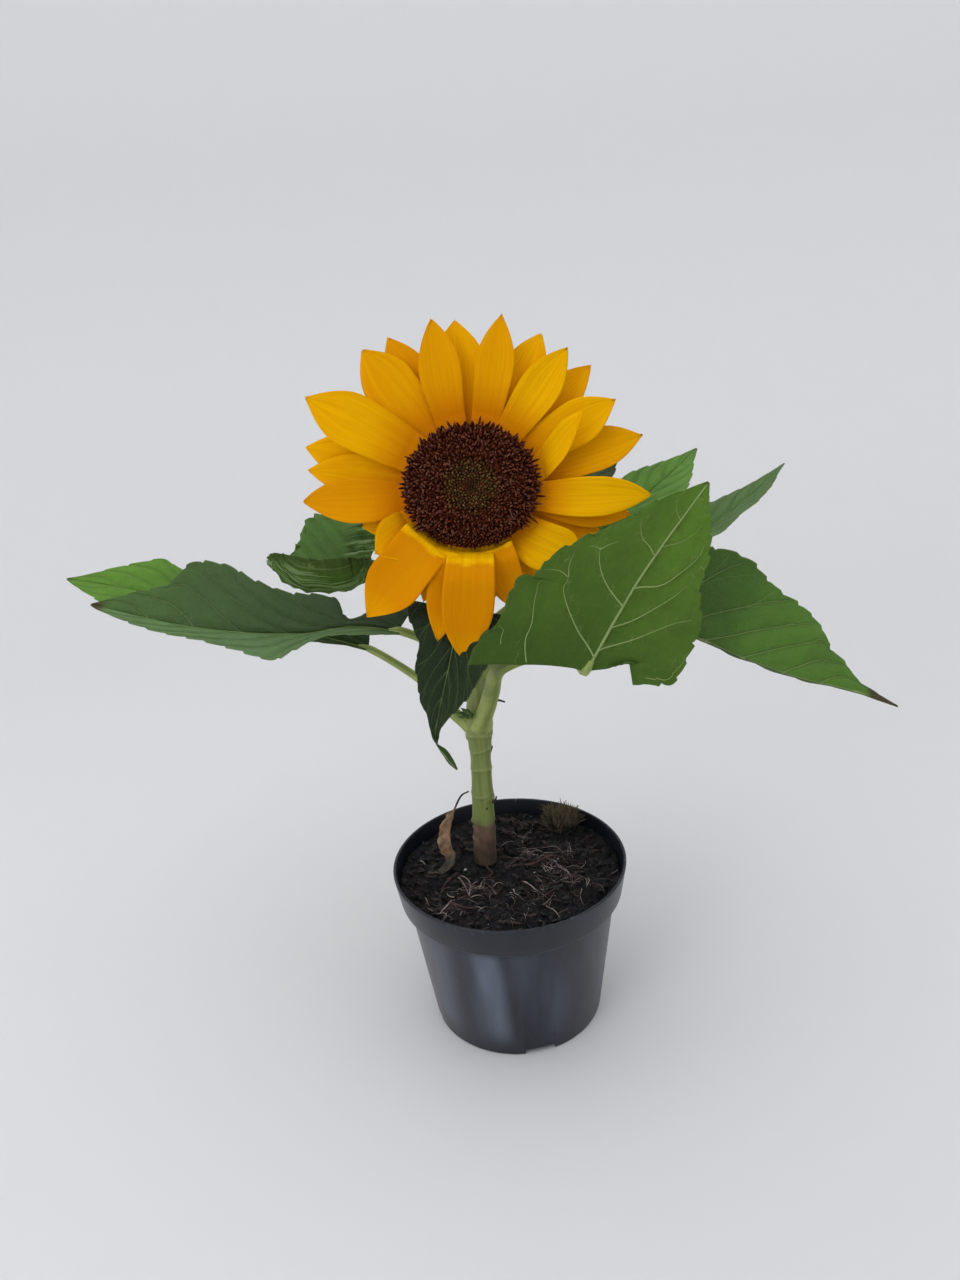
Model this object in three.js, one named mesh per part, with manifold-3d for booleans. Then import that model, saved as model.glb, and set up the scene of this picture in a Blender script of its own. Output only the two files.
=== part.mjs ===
// A young potted sunflower in bloom, in millimetres, +Z up.
// The pot stands on the origin, the flower looks towards -Y.

import * as THREE from 'three';
import { mergeVertices } from 'three/addons/utils/BufferGeometryUtils.js';
import Module from 'manifold-3d';

// Driving sizes

const gap = 0.3;

const pot = {
  rimRadius: 60,
  height: 87,
  bandHeight: 16,
  bandFootRadius: 57.2,
  shoulderRadius: 53.8,
  baseRadius: 44.2,
  wall: 1.4,
  floor: 1.6,
  sides: 40,
  notches: 4,
  notchWidth: 15.5,
  notchHeight: 3.2,
  notchTurn: 78,
  notchReach: 8,
};

const soil = {
  edge: 79.5,
  crown: 81.2,
  bump: 1.1,
  rings: 6,
  levelFrom: 7,
  levelTo: 13,
  slopeFrom: 40,
  slopeTo: 54,
  fineWave: [0.31, 0.27],
  finePhase: 1.2,
  broadWave: [0.11, 0.17],
  broadShare: 0.6,
};

const stem = {
  foot: [-12.3, 7.9, 81.2],
  points: [[-11.8, 8, 100], [-10.6, 8, 140], [-10, 8, 172], [-10, 12, 205], [-8, 19, 245]],
  footRadius: 5.9,
  neckRadius: 4.3,
  nodeSwelling: 0.7,
  nodes: [107, 122, 136.5, 147.5, 156, 192, 206],
  forkHeight: 161,
  forkSpread: 12,
  forkSwelling: 2.2,
};

// The flower's own frame: right, up along its face, and out of its face

const flower = {
  centre: [-4.9, -14, 283.4],
  lookUp: 15,
  discRadius: 30.5,
  discRise: 7.5,
  discSquash: 0.93,
  collarRadius: 22.4,
  clawEnd: 31.6,
  layerStep: 1.25,
  petalThickness: 0.6,
  bracts: 14,
  bractStart: 20,
  bractLength: 27,
  bractVaries: 3,
  bractHalfWidth: 6.5,
  bractSeat: 2.6,
  bractSag: 3,
  bractCup: 0.8,
};

// One row for each leaf: points along its midrib from foot to tip, the roll of the blade at
// foot and tip, and for each half its margin, its fold at foot and tip, and its curl.
// A margin runs from the basal lobe to the tip. Its points are a share of the midrib's
// length and a distance across the blade. A base gives the half's lower edge where it is
// not straight. The petiole runs from a height on the stem, by one to three points, to the foot.

const plainMargin = [
  [-0.06, 0.45], [0.02, 0.74], [0.14, 0.92], [0.28, 1], [0.45, 0.95], [0.6, 0.76],
  [0.75, 0.48], [0.88, 0.22], [1, 0.02],
];
const plain = (wide) => plainMargin.map(([along, across]) => [along, across * wide]);

const leaves = [
  {
    name: 'left_long',
    midrib: [[-44, 2, 214.5], [-66, -2, 219.5], [-89, -5, 219], [-133, -10, 227], [-178, -14, 243]],
    roll: [14, 14],
    left: {
      margin: [
        [0, 3], [0.16, 6], [0.25, 5], [0.31, 8], [0.37, 15], [0.41, 19], [0.46, 17],
        [0.53, 12.5], [0.64, 9.5], [0.77, 8], [0.87, 6], [0.98, 2], [1, 0.5],
      ],
      fold: [0, 0],
      curl: -8,
    },
    right: {
      margin: [
        [-0.04, 11], [0.03, 12], [0.11, 7], [0.17, 4], [0.2, 14], [0.27, 18], [0.35, 19],
        [0.43, 22], [0.51, 26], [0.59, 31], [0.66, 32], [0.73, 30], [0.79, 18],
        [0.88, 11], [0.96, 4], [1, 0.5],
      ],
      fold: [66, 25],
      curl: 10,
    },
    petiole: { height: 192, by: [[-32, 4, 208]], radius: [3, 2.1] },
  },
  {
    name: 'left_behind',
    midrib: [[-62, 20, 200], [-96, 28, 209], [-146, 38, 223], [-187, 45, 233], [-215, 50, 238]],
    roll: [8, 14],
    left: {
      margin: [
        [0, 2], [0.06, 2.5], [0.17, 9], [0.33, 18], [0.54, 24], [0.75, 20], [0.86, 14],
        [0.95, 6], [1, 0.5],
      ],
      fold: [5, 5],
      curl: 0,
    },
    right: {
      margin: [
        [0.02, 11], [0.11, 15], [0.24, 20], [0.51, 20], [0.68, 20], [0.73, 23],
        [0.77, 21], [0.85, 14], [0.95, 4], [1, 0.5],
      ],
      fold: [5, 20],
      curl: 0,
    },
    petiole: { height: 157, by: [[-21, 9, 165.5], [-36, 12.5, 183]], radius: [3.4, 1.9] },
  },
  {
    name: 'left_crumpled',
    midrib: [[-59, 43, 238], [-83, 38, 238], [-108, 37, 244]],
    roll: [0, -10],
    left: {
      margin: [
        [0, 26], [0.1, 36], [0.22, 41], [0.38, 43], [0.58, 43], [0.74, 42], [0.86, 36],
        [0.95, 22], [1, 6],
      ],
      fold: [-80, -82],
      curl: 205,
    },
    right: {
      margin: [
        [-0.1, 8], [-0.08, 20], [0.1, 28], [0.4, 31], [0.62, 31], [0.72, 27], [0.755, 18],
        [0.77, 9], [0.84, 3], [1, 0.5],
      ],
      fold: [62, 35],
      curl: 5,
    },
    across: 10,
    petiole: { height: 214, by: [[-37, 34, 228]], radius: [2.4, 0.9] },
  },
  {
    name: 'front_hanging',
    midrib: [
      [-15, -26, 233], [-18, -34, 218], [-25, -44, 195], [-28, -48, 181], [-24, -49, 173],
      [-20, -50, 167],
    ],
    roll: [0, -10],
    left: {
      margin: [
        [0.03, 22], [0.22, 21], [0.39, 21], [0.48, 17], [0.56, 12], [0.68, 5], [0.78, 1.2],
        [0.88, 1.4], [0.95, 2.4], [1, 0.5],
      ],
      fold: [5, 10],
      curl: 0,
    },
    right: {
      margin: [
        [-0.04, 25], [0.07, 21], [0.22, 17], [0.37, 17], [0.48, 14], [0.62, 9], [0.69, 5],
        [0.77, 1.2], [0.86, 2.4], [0.94, 2.2], [1, 0.5],
      ],
      fold: [5, 10],
      curl: 0,
    },
    petiole: { height: 206, by: [[-12, -12, 226]], radius: [2.2, 1.5] },
  },
  {
    name: 'front_right',
    midrib: [[36, -66, 216], [59, -63, 253], [86, -60, 288]],
    roll: [-80, -80],
    left: {
      margin: [
        [-0.2, 45], [-0.06, 46], [0.05, 42], [0.16, 43], [0.26, 43], [0.3, 38], [0.39, 36],
        [0.49, 30], [0.56, 25], [0.61, 21], [0.71, 16], [0.82, 12], [0.93, 5], [1, 0.5],
      ],
      fold: [10, 0],
      curl: 0,
    },
    right: {
      margin: [
        [0.05, 19], [0.1, 27], [0.13, 32], [0.19, 33], [0.31, 32.5], [0.44, 31], [0.52, 27],
        [0.6, 22], [0.71, 19], [0.83, 13], [0.93, 5], [1, 0.5],
      ],
      base: [0, 0.05, 0.14, 0.05],
      fold: [10, 0],
      curl: 0,
    },
    petiole: { height: 165, by: [[-4, -9, 181], [5, -24, 202.5], [33, -50, 219]], radius: [4, 1.8] },
  },
  {
    name: 'right_low',
    midrib: [
      [69, -38, 225], [87, -42, 217.5], [103, -44, 209], [129, -47, 198], [150, -47, 191],
      [172, -47, 181],
    ],
    roll: [-32, -25],
    left: {
      margin: [
        [0, 26], [0.09, 37], [0.22, 40], [0.31, 38], [0.42, 34], [0.55, 30], [0.67, 25],
        [0.71, 17], [0.77, 12], [0.82, 6], [0.9, 3], [1, 0.5],
      ],
      fold: [36, 15],
      curl: 5,
    },
    right: {
      margin: [
        [0, 14], [0.12, 24], [0.28, 27], [0.45, 25], [0.6, 19], [0.75, 12], [0.88, 5], [1, 0.5],
      ],
      fold: [-140, -135],
      curl: -10,
    },
    petiole: { height: 186, by: [[26, -14, 219]], radius: [3, 1.7] },
  },
  {
    name: 'right_high',
    midrib: [[72, 13, 238], [100, 19, 246], [126, 31, 258], [148, 46, 271]],
    roll: [-5, 12],
    left: { margin: plain(21), fold: [25, 0], curl: 0 },
    right: { margin: plain(21), fold: [20, 12], curl: 0 },
    petiole: { height: 204, by: [[30, 10, 232]], radius: [2.6, 1.5] },
  },
  {
    name: 'right_back',
    midrib: [[43, 22, 240], [65, 32, 254], [88, 44, 267], [108, 59, 279]],
    roll: [-5, -5],
    left: { margin: plain(24), fold: [15, 13], curl: 0 },
    right: { margin: plain(28), fold: [10, 8], curl: -4 },
    petiole: { height: 216, by: [[18, 20, 236]], radius: [2.4, 1.3] },
  },
  {
    name: 'behind_petals',
    midrib: [[39, 13, 258], [46, 18, 274], [58, 21, 287], [75, 23, 294]],
    roll: [0, -15],
    left: { margin: plain(18), fold: [15, 15], curl: 0 },
    right: { margin: plain(24), fold: [15, 0], curl: 0 },
    petiole: { height: 236, by: [[26, 15, 242]], radius: [2, 1.2] },
  },
  {
    name: 'back_left',
    midrib: [[-18, 48, 222], [-32, 81, 232], [-47, 116, 237], [-62, 150, 236]],
    roll: [-5, 5],
    left: { margin: plain(32), fold: [12, 8], curl: 0 },
    right: { margin: plain(32), fold: [12, 8], curl: 0 },
    petiole: { height: 196, by: [[-12, 30, 216]], radius: [2.8, 1.6] },
  },
  {
    name: 'back_right',
    midrib: [[28, 44, 212], [46, 77, 215], [65, 109, 209], [82, 140, 196]],
    roll: [5, -5],
    left: { margin: plain(34), fold: [12, 8], curl: 0 },
    right: { margin: plain(34), fold: [12, 8], curl: 0 },
    petiole: { height: 178, by: [[8, 28, 203]], radius: [3, 1.5] },
  },
];

// How a leaf's rows lean along its side veins, how soon an uneven base fades, and its mesh

const leafRule = {
  veinBend: 1.25,
  baseFade: 6,
  curlSlices: 4,
  thinnest: 0.9,
  steps: 14,
  across: 6,
};

// One row for each petal: the angle round the face from the right, the reach of
// the tip from the centre, the width, the layer from the front, the lift of the
// blade at its foot and tip in degrees, and the sideways lean of the tip.

const petals = [
  [73, 70.5, 16, 0, 20, 4, 3], [103.5, 70, 17.5, 1, 16, 4, -5], [89, 70, 22, 3, 4, -4, 3],
  [114.5, 72, 19, 3, 4, -6, 1], [125.5, 73, 23, 2, 8, 0, -1], [146.5, 77.5, 23, 0, 18, 2, 2],
  [161.5, 73, 20, 3, 4, -6, 1], [170, 70, 17, 2, 6, -4, 0], [186, 71, 19, 1, 16, 0, -6],
  [196, 50, 16, 3, 2, -8, 0], [211, 49, 20, 0, 45, 10, 0], [227, 71, 24, 2, 6, -20, 0],
  [243, 53, 14, 3, 0, -6, 0], [251, 67, 16, 2, 40, -25, 3], [266, 74, 22, 0, 55, -30, -3],
  [272, 48, 14, 3, 0, -12, 0], [289, 55, 15, 1, 50, -10, -3], [300, 48, 14, 3, 4, -10, 0],
  [312, 56, 22.5, 1, 22, 0, 9], [336, 60, 16, 3, 2, -8, 0], [346, 69, 17, 2, 8, -4, 0],
  [347.5, 75, 17, 0, 24, 0, 7], [12.5, 76, 19, 3, 6, -4, 0], [8, 51, 14, 0, 42, 30, 19],
  [26.5, 70, 19, 1, 14, 4, 0], [41, 72, 17, 3, 4, -4, 0], [50.5, 69, 17, 0, 18, 4, 0],
  [61, 70, 19, 2, 8, 0, 0],
];

const moss = {
  centre: [30, 37],
  radius: 9.5,
  depthShare: 0.7,
  height: 12,
  roughness: 0.16,
  lumps: [7, 3, 5],
};

// The dried leaf runs from the stem down to the soil and along it to its end

const driedLeaf = {
  thread: [[-18, 4, 125], [-21.5, 1.5, 124.5], [-25.5, 0, 118]],
  hanging: [[-29.5, 0, 108], [-30, 0, 98], [-28.5, 0, 90]],
  resting: [[-34, -1.5], [-42, -3.5]],
  lying: 1.2,
  threadShare: 0.22,
  threadHalfWidth: 0.7,
  halfWidth: 4.2,
  foldLift: 0.5,
  thickness: 0.9,
};

// Colours

const colours = {
  pot: 0x3c434f,
  soil: 0x2a211b,
  moss: 0x5b5430,
  dried: 0x7a5c41,
  stem: 0x7d8850,
  petiole: 0x76894a,
  leaf: 0x4d6f38,
  receptacle: 0x5d7a3c,
  disc: 0x35170f,
  petal: 0xe2a008,
};

// Shared shape helpers

const up = new THREE.Vector3(0, 0, 1);
const radians = THREE.MathUtils.degToRad;
const mix = THREE.MathUtils.lerp;
const clamp = THREE.MathUtils.clamp;
const vector = ([x, y, z]) => new THREE.Vector3(x, y, z);
const ease = (x) => THREE.MathUtils.smoothstep(x, 0, 1);

// Moves every vertex of a closed geometry to place(x, y, z)
function reshape(geometry, place) {
  const at = geometry.attributes.position;
  for (let i = 0; i < at.count; i += 1) {
    const point = place(at.getX(i), at.getY(i), at.getZ(i));
    at.setXYZ(i, point.x, point.y, point.z);
  }
  geometry.deleteAttribute('normal');
  geometry.deleteAttribute('uv');
  return mergeVertices(geometry, 1e-4);
}

// A thin blade of even thickness laid over surface(u, v): u from foot to tip, v from -1 to 1
function blade(surface, thickness, steps, across) {
  const slab = new THREE.BoxGeometry(2, 1, 1, across, steps, 1);
  const near = 0.01;
  return reshape(slab, (x, y, z) => {
    const u = y + 0.5;
    const along = surface(Math.min(u + near, 1), x).sub(surface(Math.max(u - near, 0), x));
    const sideways = surface(u, Math.min(x + near, 1)).sub(surface(u, Math.max(x - near, -1)));
    const normal = sideways.cross(along).normalize();
    return surface(u, x).addScaledVector(normal, z * thickness);
  });
}

// A round tapering limb along a curve
function limb(curve, radiusAt, sides, steps) {
  const rod = new THREE.CylinderGeometry(1, 1, 1, sides, steps);
  const frames = curve.computeFrenetFrames(steps);
  return reshape(rod, (x, y, z) => {
    const t = y + 0.5;
    const i = Math.round(t * steps);
    const radius = radiusAt(t);
    return curve.getPointAt(t)
      .addScaledVector(frames.normals[i], x * radius)
      .addScaledVector(frames.binormals[i], -z * radius);
  });
}

function mesh(name, geometry, colour, roughness) {
  const material = new THREE.MeshStandardMaterial({ color: colour, roughness, metalness: 0 });
  const piece = new THREE.Mesh(geometry, material);
  piece.name = name;
  return piece;
}

// Boolean joins and cuts

const wasm = await Module();
wasm.setup();

function toSolid(geometry) {
  return new wasm.Manifold(new wasm.Mesh({
    numProp: 3,
    vertProperties: new Float32Array(geometry.attributes.position.array),
    triVerts: new Uint32Array(geometry.index.array),
  }));
}

function toGeometry(solid) {
  const { vertProperties, triVerts } = solid.getMesh();
  const geometry = new THREE.BufferGeometry();
  geometry.setAttribute('position', new THREE.BufferAttribute(vertProperties, 3));
  geometry.setIndex(new THREE.BufferAttribute(triVerts, 1));
  return geometry;
}

// A closed profile of [radius, height] points turned about +Z
function turned(profile, sides) {
  const points = profile.map(([r, z]) => new THREE.Vector2(r, z));
  const geometry = new THREE.LatheGeometry(points, sides);
  geometry.rotateX(Math.PI / 2);
  return reshape(geometry, (x, y, z) => new THREE.Vector3(x, y, z));
}

// The pot: a thin tapering vessel with a wide band round its rim and drain
// notches in the edge of its foot

const shoulder = pot.height - pot.bandHeight;
const innerBand = pot.bandFootRadius - pot.wall;

function potVessel() {
  const { rimRadius, height, bandFootRadius, shoulderRadius, baseRadius, wall, floor } = pot;
  const vessel = turned([
    [0, 0],
    [baseRadius, 0],
    [shoulderRadius, shoulder],
    [bandFootRadius, shoulder],
    [rimRadius - 0.4, height - 0.8],
    [rimRadius - 1, height],
    [rimRadius - wall, height],
    [innerBand, shoulder + wall],
    [shoulderRadius - wall, shoulder + wall],
    [baseRadius - wall, floor],
    [0, floor],
  ], pot.sides);
  let solid = toSolid(vessel);
  for (let i = 0; i < pot.notches; i += 1) {
    const slot = new THREE.BoxGeometry(pot.notchReach, pot.notchWidth, 2 * pot.notchHeight);
    slot.translate(baseRadius - 0.5, 0, 0);
    slot.rotateZ(radians(-pot.notchTurn + i * 360 / pot.notches));
    const cutter = toSolid(reshape(slot, (x, y, z) => new THREE.Vector3(x, y, z)));
    solid = solid.subtract(cutter);
  }
  return toGeometry(solid);
}

// The soil: it fills the pot and lies in low uneven lumps, level round the stem's foot

function soilTop(x, y) {
  const [stemX, stemY] = stem.foot;
  const { smoothstep } = THREE.MathUtils;
  const away = smoothstep(Math.hypot(x - stemX, y - stemY), soil.levelFrom, soil.levelTo);
  const edge = smoothstep(Math.hypot(x, y), soil.slopeFrom, soil.slopeTo);
  const [fineX, fineY] = soil.fineWave;
  const [broadX, broadY] = soil.broadWave;
  const fine = Math.sin(x * fineX + soil.finePhase) * Math.cos(y * fineY);
  const lumps = fine + soil.broadShare * Math.sin(x * broadX - y * broadY);
  const crown = soil.crown - gap;
  return mix(crown, soil.edge, edge) + away * (1 - edge) * soil.bump * lumps;
}

function soilFill() {
  const bottom = pot.floor + gap;
  const profile = [
    [0, bottom],
    [pot.baseRadius - pot.wall - gap, bottom],
    [pot.shoulderRadius - pot.wall - gap, shoulder + pot.wall],
    [innerBand - gap, shoulder + pot.wall + gap],
  ];
  const slope = (pot.rimRadius - pot.wall - innerBand) / (pot.bandHeight - pot.wall);
  const surfaceRadius = innerBand - gap + (soil.edge - shoulder - pot.wall - gap) * slope;
  for (let i = soil.rings; i >= 0; i -= 1) {
    profile.push([surfaceRadius * i / soil.rings, soil.edge]);
  }
  return reshape(turned(profile, pot.sides), (x, y, z) => {
    const onTop = z > soil.edge - 0.01;
    const inside = Math.hypot(x, y) < surfaceRadius - 0.5;
    return new THREE.Vector3(x, y, onTop && inside ? soilTop(x, y) : z);
  });
}

// The stem: it rises from a flat cut at the soil, swells a little at each old leaf
// scar, leans and runs up behind the flower to its receptacle

const flowerTilt = radians(flower.lookUp);
const faceOut = new THREE.Vector3(0, -Math.cos(flowerTilt), Math.sin(flowerTilt));
const faceRight = new THREE.Vector3(1, 0, 0);
const faceUp = new THREE.Vector3(0, Math.sin(flowerTilt), Math.cos(flowerTilt));

function onFlower(x, y, z) {
  return vector(flower.centre)
    .addScaledVector(faceRight, x)
    .addScaledVector(faceUp, y)
    .addScaledVector(faceOut, z);
}

const receptacleBack = -18;
const stemCurve = new THREE.CatmullRomCurve3([
  vector(stem.foot),
  ...stem.points.map(vector),
  onFlower(0, -2, receptacleBack - 9),
  onFlower(0, 0, receptacleBack - 3),
  onFlower(0, 0, receptacleBack - 2 * gap),
]);

function stemRadius(t) {
  const height = stemCurve.getPointAt(t).z;
  const bump = (centre, spread) => Math.exp(-(((height - centre) / spread) ** 2));
  const plain = mix(stem.footRadius, stem.neckRadius, ease(t * 2));
  const nodes = stem.nodes.reduce((sum, node) => sum + bump(node, 3), 0);
  return plain + stem.nodeSwelling * nodes + stem.forkSwelling * bump(stem.forkHeight, stem.forkSpread);
}

function stemLimb() {
  return limb(stemCurve, stemRadius, 10, 30);
}

function stemAtHeight(height) {
  let low = 0;
  let high = 1;
  for (let i = 0; i < 30; i += 1) {
    const middle = (low + high) / 2;
    if (stemCurve.getPointAt(middle).z < height) {
      low = middle;
    } else {
      high = middle;
    }
  }
  return stemCurve.getPointAt(low);
}

// A leaf blade: a flat pattern on each side of a curved midrib, folded and curled

// The margin of a half as a smooth line on its flat pattern
function marginLine(half, length) {
  const points = half.margin.map(([along, across]) => new THREE.Vector3(along * length, across, 0));
  return new THREE.CatmullRomCurve3(points);
}

// Where the lower edge of a half lies along the midrib, v of the way across
function baseEdge(half, v) {
  const place = v * (half.base.length - 1);
  const i = Math.min(Math.floor(place), half.base.length - 2);
  return mix(half.base[i], half.base[i + 1], place - i);
}

function leafSurface(leaf) {
  const { veinBend, baseFade, curlSlices } = leafRule;
  const midrib = new THREE.CatmullRomCurve3(leaf.midrib.map(vector));
  const length = midrib.getLength();
  const margins = { left: marginLine(leaf.left, length), right: marginLine(leaf.right, length) };
  return (u, v) => {
    const key = v < 0 ? 'left' : 'right';
    const half = leaf[key];
    const part = Math.abs(v);
    const margin = margins[key].getPointAt(u);
    let x = mix(u * length, margin.x, part ** veinBend);
    if (half.base) {
      const straight = margins[key].getPointAt(0).x * part ** veinBend;
      x += (baseEdge(half, part) * length - straight) * (1 - u) ** baseFade;
    }
    const share = clamp(x / length, 0, 1);
    const along = midrib.getTangentAt(share);
    const side = along.clone().cross(up).normalize();
    const rise = side.clone().cross(along);
    const roll = radians(mix(leaf.roll[0], leaf.roll[1], share));
    const outward = side.clone().multiplyScalar(Math.cos(roll)).addScaledVector(rise, Math.sin(roll));
    const upward = rise.clone().multiplyScalar(Math.cos(roll)).addScaledVector(side, -Math.sin(roll));
    const fold = radians(mix(half.fold[0], half.fold[1], share));
    let out = 0;
    let lift = 0;
    for (let i = 0; i < curlSlices; i += 1) {
      const angle = fold + radians(half.curl) * part * (i + 0.5) / curlSlices;
      out += Math.cos(angle) * part / curlSlices;
      lift += Math.sin(angle) * part / curlSlices;
    }
    return midrib.getPointAt(share)
      .addScaledVector(along, x - share * length)
      .addScaledVector(outward, Math.sign(v) * out * margin.y)
      .addScaledVector(upward, lift * margin.y);
  };
}

function leafBlade(leaf) {
  const length = vector(leaf.midrib[0]).distanceTo(vector(leaf.midrib.at(-1)));
  const thickness = Math.max(leafRule.thinnest, length / 100);
  return blade(leafSurface(leaf), thickness, leafRule.steps, leaf.across || leafRule.across);
}

// A petiole: it starts in the stem, is cut 0.3 mm clear of it, and ends at the blade's foot

const petioleStop = 1.15;
const stemClearance = toSolid(limb(stemCurve, (t) => stemRadius(t) + gap, 10, 30));

function petioleLimb(leaf) {
  const foot = vector(leaf.midrib[0]);
  const stops = leaf.petiole.by.map(vector);
  const along = vector(leaf.midrib[1]).sub(foot).normalize();
  const back = stops[stops.length - 1].clone().sub(foot).normalize().sub(along).normalize();
  const end = foot.clone().addScaledVector(back, petioleStop);
  const curve = new THREE.CatmullRomCurve3([stemAtHeight(leaf.petiole.height), ...stops, end]);
  const [thick, thin] = leaf.petiole.radius;
  const round = limb(curve, (t) => mix(thick, thin, ease(t * 1.4)), 8, 9);
  return toGeometry(toSolid(round).subtract(stemClearance));
}

// The flower's receptacle: a shallow green bowl with a collar that carries the disc,
// and a ring of pointed bracts behind the petals

function receptacle() {
  const { collarRadius, layerStep, bracts, bractStart, bractHalfWidth } = flower;
  const { bractSeat, bractSag, bractCup } = flower;
  const seat = -3 * layerStep - 1.1;
  const bowl = turned([
    [0, receptacleBack],
    [4.6, receptacleBack],
    [9, -15],
    [21, -9],
    [28.5, seat - 1],
    [29, seat],
    [collarRadius, seat],
    [collarRadius, -0.9],
    [0, -0.9],
  ], 28);
  let solid = toSolid(reshape(bowl, (x, y, z) => onFlower(x, y, z)));
  for (let i = 0; i < bracts; i += 1) {
    const angle = 2 * Math.PI * i / bracts;
    const long = flower.bractLength + flower.bractVaries * Math.sin(3 * angle + 1);
    const surface = (u, v) => {
      const wide = bractHalfWidth * Math.sin(Math.PI * (0.25 + 0.75 * u)) * (1 - 0.3 * u) + 0.5;
      const r = bractStart + long * u;
      const h = seat - bractSeat - bractSag * Math.sin(Math.PI * u) + bractCup * v * v;
      const x = Math.cos(angle) * r - Math.sin(angle) * wide * v;
      const y = Math.sin(angle) * r + Math.cos(angle) * wide * v;
      return onFlower(x, y, h);
    };
    solid = solid.add(toSolid(blade(surface, 1, 4, 2)));
  }
  return toGeometry(solid);
}

// The disc: a domed cushion of florets with a dimple at its centre

function discDome() {
  const { discRadius, discRise, discSquash, collarRadius } = flower;
  const dome = turned([
    [0, -0.6],
    [collarRadius - 0.4, -0.6],
    [collarRadius - 0.4, 0.8],
    [discRadius - 1, 0.8],
    [discRadius, 2],
    [discRadius - 1, 4.2],
    [discRadius * 0.84, discRise - 1],
    [discRadius * 0.6, discRise],
    [discRadius * 0.3, discRise - 0.3],
    [0, discRise - 1.8],
  ], 32);
  return reshape(dome, (x, y, z) => onFlower(x, y * discSquash, z));
}

// A petal: a flat claw under the disc's edge, then a long cupped blade that lifts
// off the face and levels out

const petal = { clawShare: 0.34, widest: 0.6, widens: 0.1, tipShare: 0.04, cup: 0.16 };

function petalShare(s) {
  const { clawShare, widest, widens, tipShare } = petal;
  if (s < widest) {
    const rising = Math.sin(clamp((s - widens) / (widest - widens), 0, 1) * Math.PI / 2);
    return mix(clawShare, 1, rising);
  }
  return mix(1, tipShare, ((s - widest) / (1 - widest)) ** 2);
}

function petalSpine(start, reach, lift, tipLift) {
  const claw = flower.clawEnd - start;
  const slices = 40;
  const trace = (long) => {
    const points = [[start, 0]];
    const total = claw + long;
    for (let i = 0; i < slices; i += 1) {
      const d = total * (i + 0.5) / slices;
      const angle = d < claw ? 0 : radians(mix(lift, tipLift, (d - claw) / long));
      const [r, h] = points[i];
      points.push([r + Math.cos(angle) * total / slices, h + Math.sin(angle) * total / slices]);
    }
    return points;
  };
  let long = reach - flower.clawEnd;
  for (let i = 0; i < 12; i += 1) {
    long += reach - trace(long)[slices][0];
  }
  const points = trace(long);
  return (s) => {
    const place = s * slices;
    const i = Math.min(Math.floor(place), slices - 1);
    const part = place - i;
    return {
      r: mix(points[i][0], points[i + 1][0], part),
      h: mix(points[i][1], points[i + 1][1], part),
      angle: Math.atan2(points[i + 1][1] - points[i][1], points[i + 1][0] - points[i][0]),
    };
  };
}

function petalBlade([at, reach, wide, layer, lift, tipLift, lean]) {
  const spine = petalSpine(flower.collarRadius + 0.5, reach, lift, tipLift);
  const turn = radians(at);
  const base = 0.2 - flower.layerStep * layer;
  const surface = (s, v) => {
    const { r, h, angle } = spine(s);
    const half = wide / 2 * petalShare(s);
    const cup = petal.cup * ease((s - 0.1) / 0.4) * (1 - 0.5 * ease((s - 0.6) / 0.4));
    const raise = cup * half * v * v;
    const outward = r - Math.sin(angle) * raise;
    const sideways = half * v + lean * s ** 1.5;
    const x = Math.cos(turn) * outward - Math.sin(turn) * sideways;
    const y = Math.sin(turn) * outward + Math.cos(turn) * sideways;
    return onFlower(x, y, base + h + Math.cos(angle) * raise);
  };
  return blade(surface, flower.petalThickness, 7, 2);
}

// A tuft of moss on the soil near the back of the rim

function mossTuft() {
  const [cx, cy] = moss.centre;
  const [lumpsX, lumpsY, lumpsZ] = moss.lumps;
  const ball = new THREE.SphereGeometry(1, 10, 6);
  return reshape(ball, (x, y, z) => {
    const rough = 1 + moss.roughness * Math.sin(lumpsX * x + lumpsY * y) * Math.cos(lumpsZ * z);
    const px = cx + moss.radius * x * rough;
    const py = cy - moss.depthShare * moss.radius * z * rough;
    const ground = soilTop(px, py) + 1;
    return new THREE.Vector3(px, py, y < 0 ? ground : ground + moss.height * y * rough + 0.2);
  });
}

// An old leaf that has dried up: a dark thread of a petiole that arches from the stem,
// then a narrow folded blade that hangs to the soil

function driedBlade() {
  const { threadShare, threadHalfWidth, halfWidth, foldLift } = driedLeaf;
  const resting = driedLeaf.resting.map(([x, y]) => [x, y, soilTop(x, y) + driedLeaf.lying]);
  const stops = [...driedLeaf.thread, ...driedLeaf.hanging, ...resting];
  const curve = new THREE.CatmullRomCurve3(stops.map(vector));
  const surface = (u, v) => {
    const open = Math.max(u - threadShare, 0) / (1.02 - threadShare);
    const wide = threadHalfWidth + halfWidth * Math.sin(Math.PI * open);
    const along = curve.getTangentAt(u);
    const side = new THREE.Vector3(0.8, -0.6, 0).cross(along).cross(along).normalize();
    const lift = side.clone().cross(along);
    return curve.getPointAt(u)
      .addScaledVector(side, wide * v)
      .addScaledVector(lift, foldLift * wide * v * v);
  };
  return blade(surface, driedLeaf.thickness, 16, 2);
}

// The whole plant

const plant = new THREE.Group();

plant.add(mesh('pot', potVessel(), colours.pot, 0.45));
plant.add(mesh('soil', soilFill(), colours.soil, 0.95));
plant.add(mesh('moss_tuft', mossTuft(), colours.moss, 0.95));
plant.add(mesh('dried_leaf', driedBlade(), colours.dried, 0.9));
plant.add(mesh('stem', stemLimb(), colours.stem, 0.6));
plant.add(mesh('flower_receptacle', receptacle(), colours.receptacle, 0.6));
plant.add(mesh('flower_disc', discDome(), colours.disc, 0.9));

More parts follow.
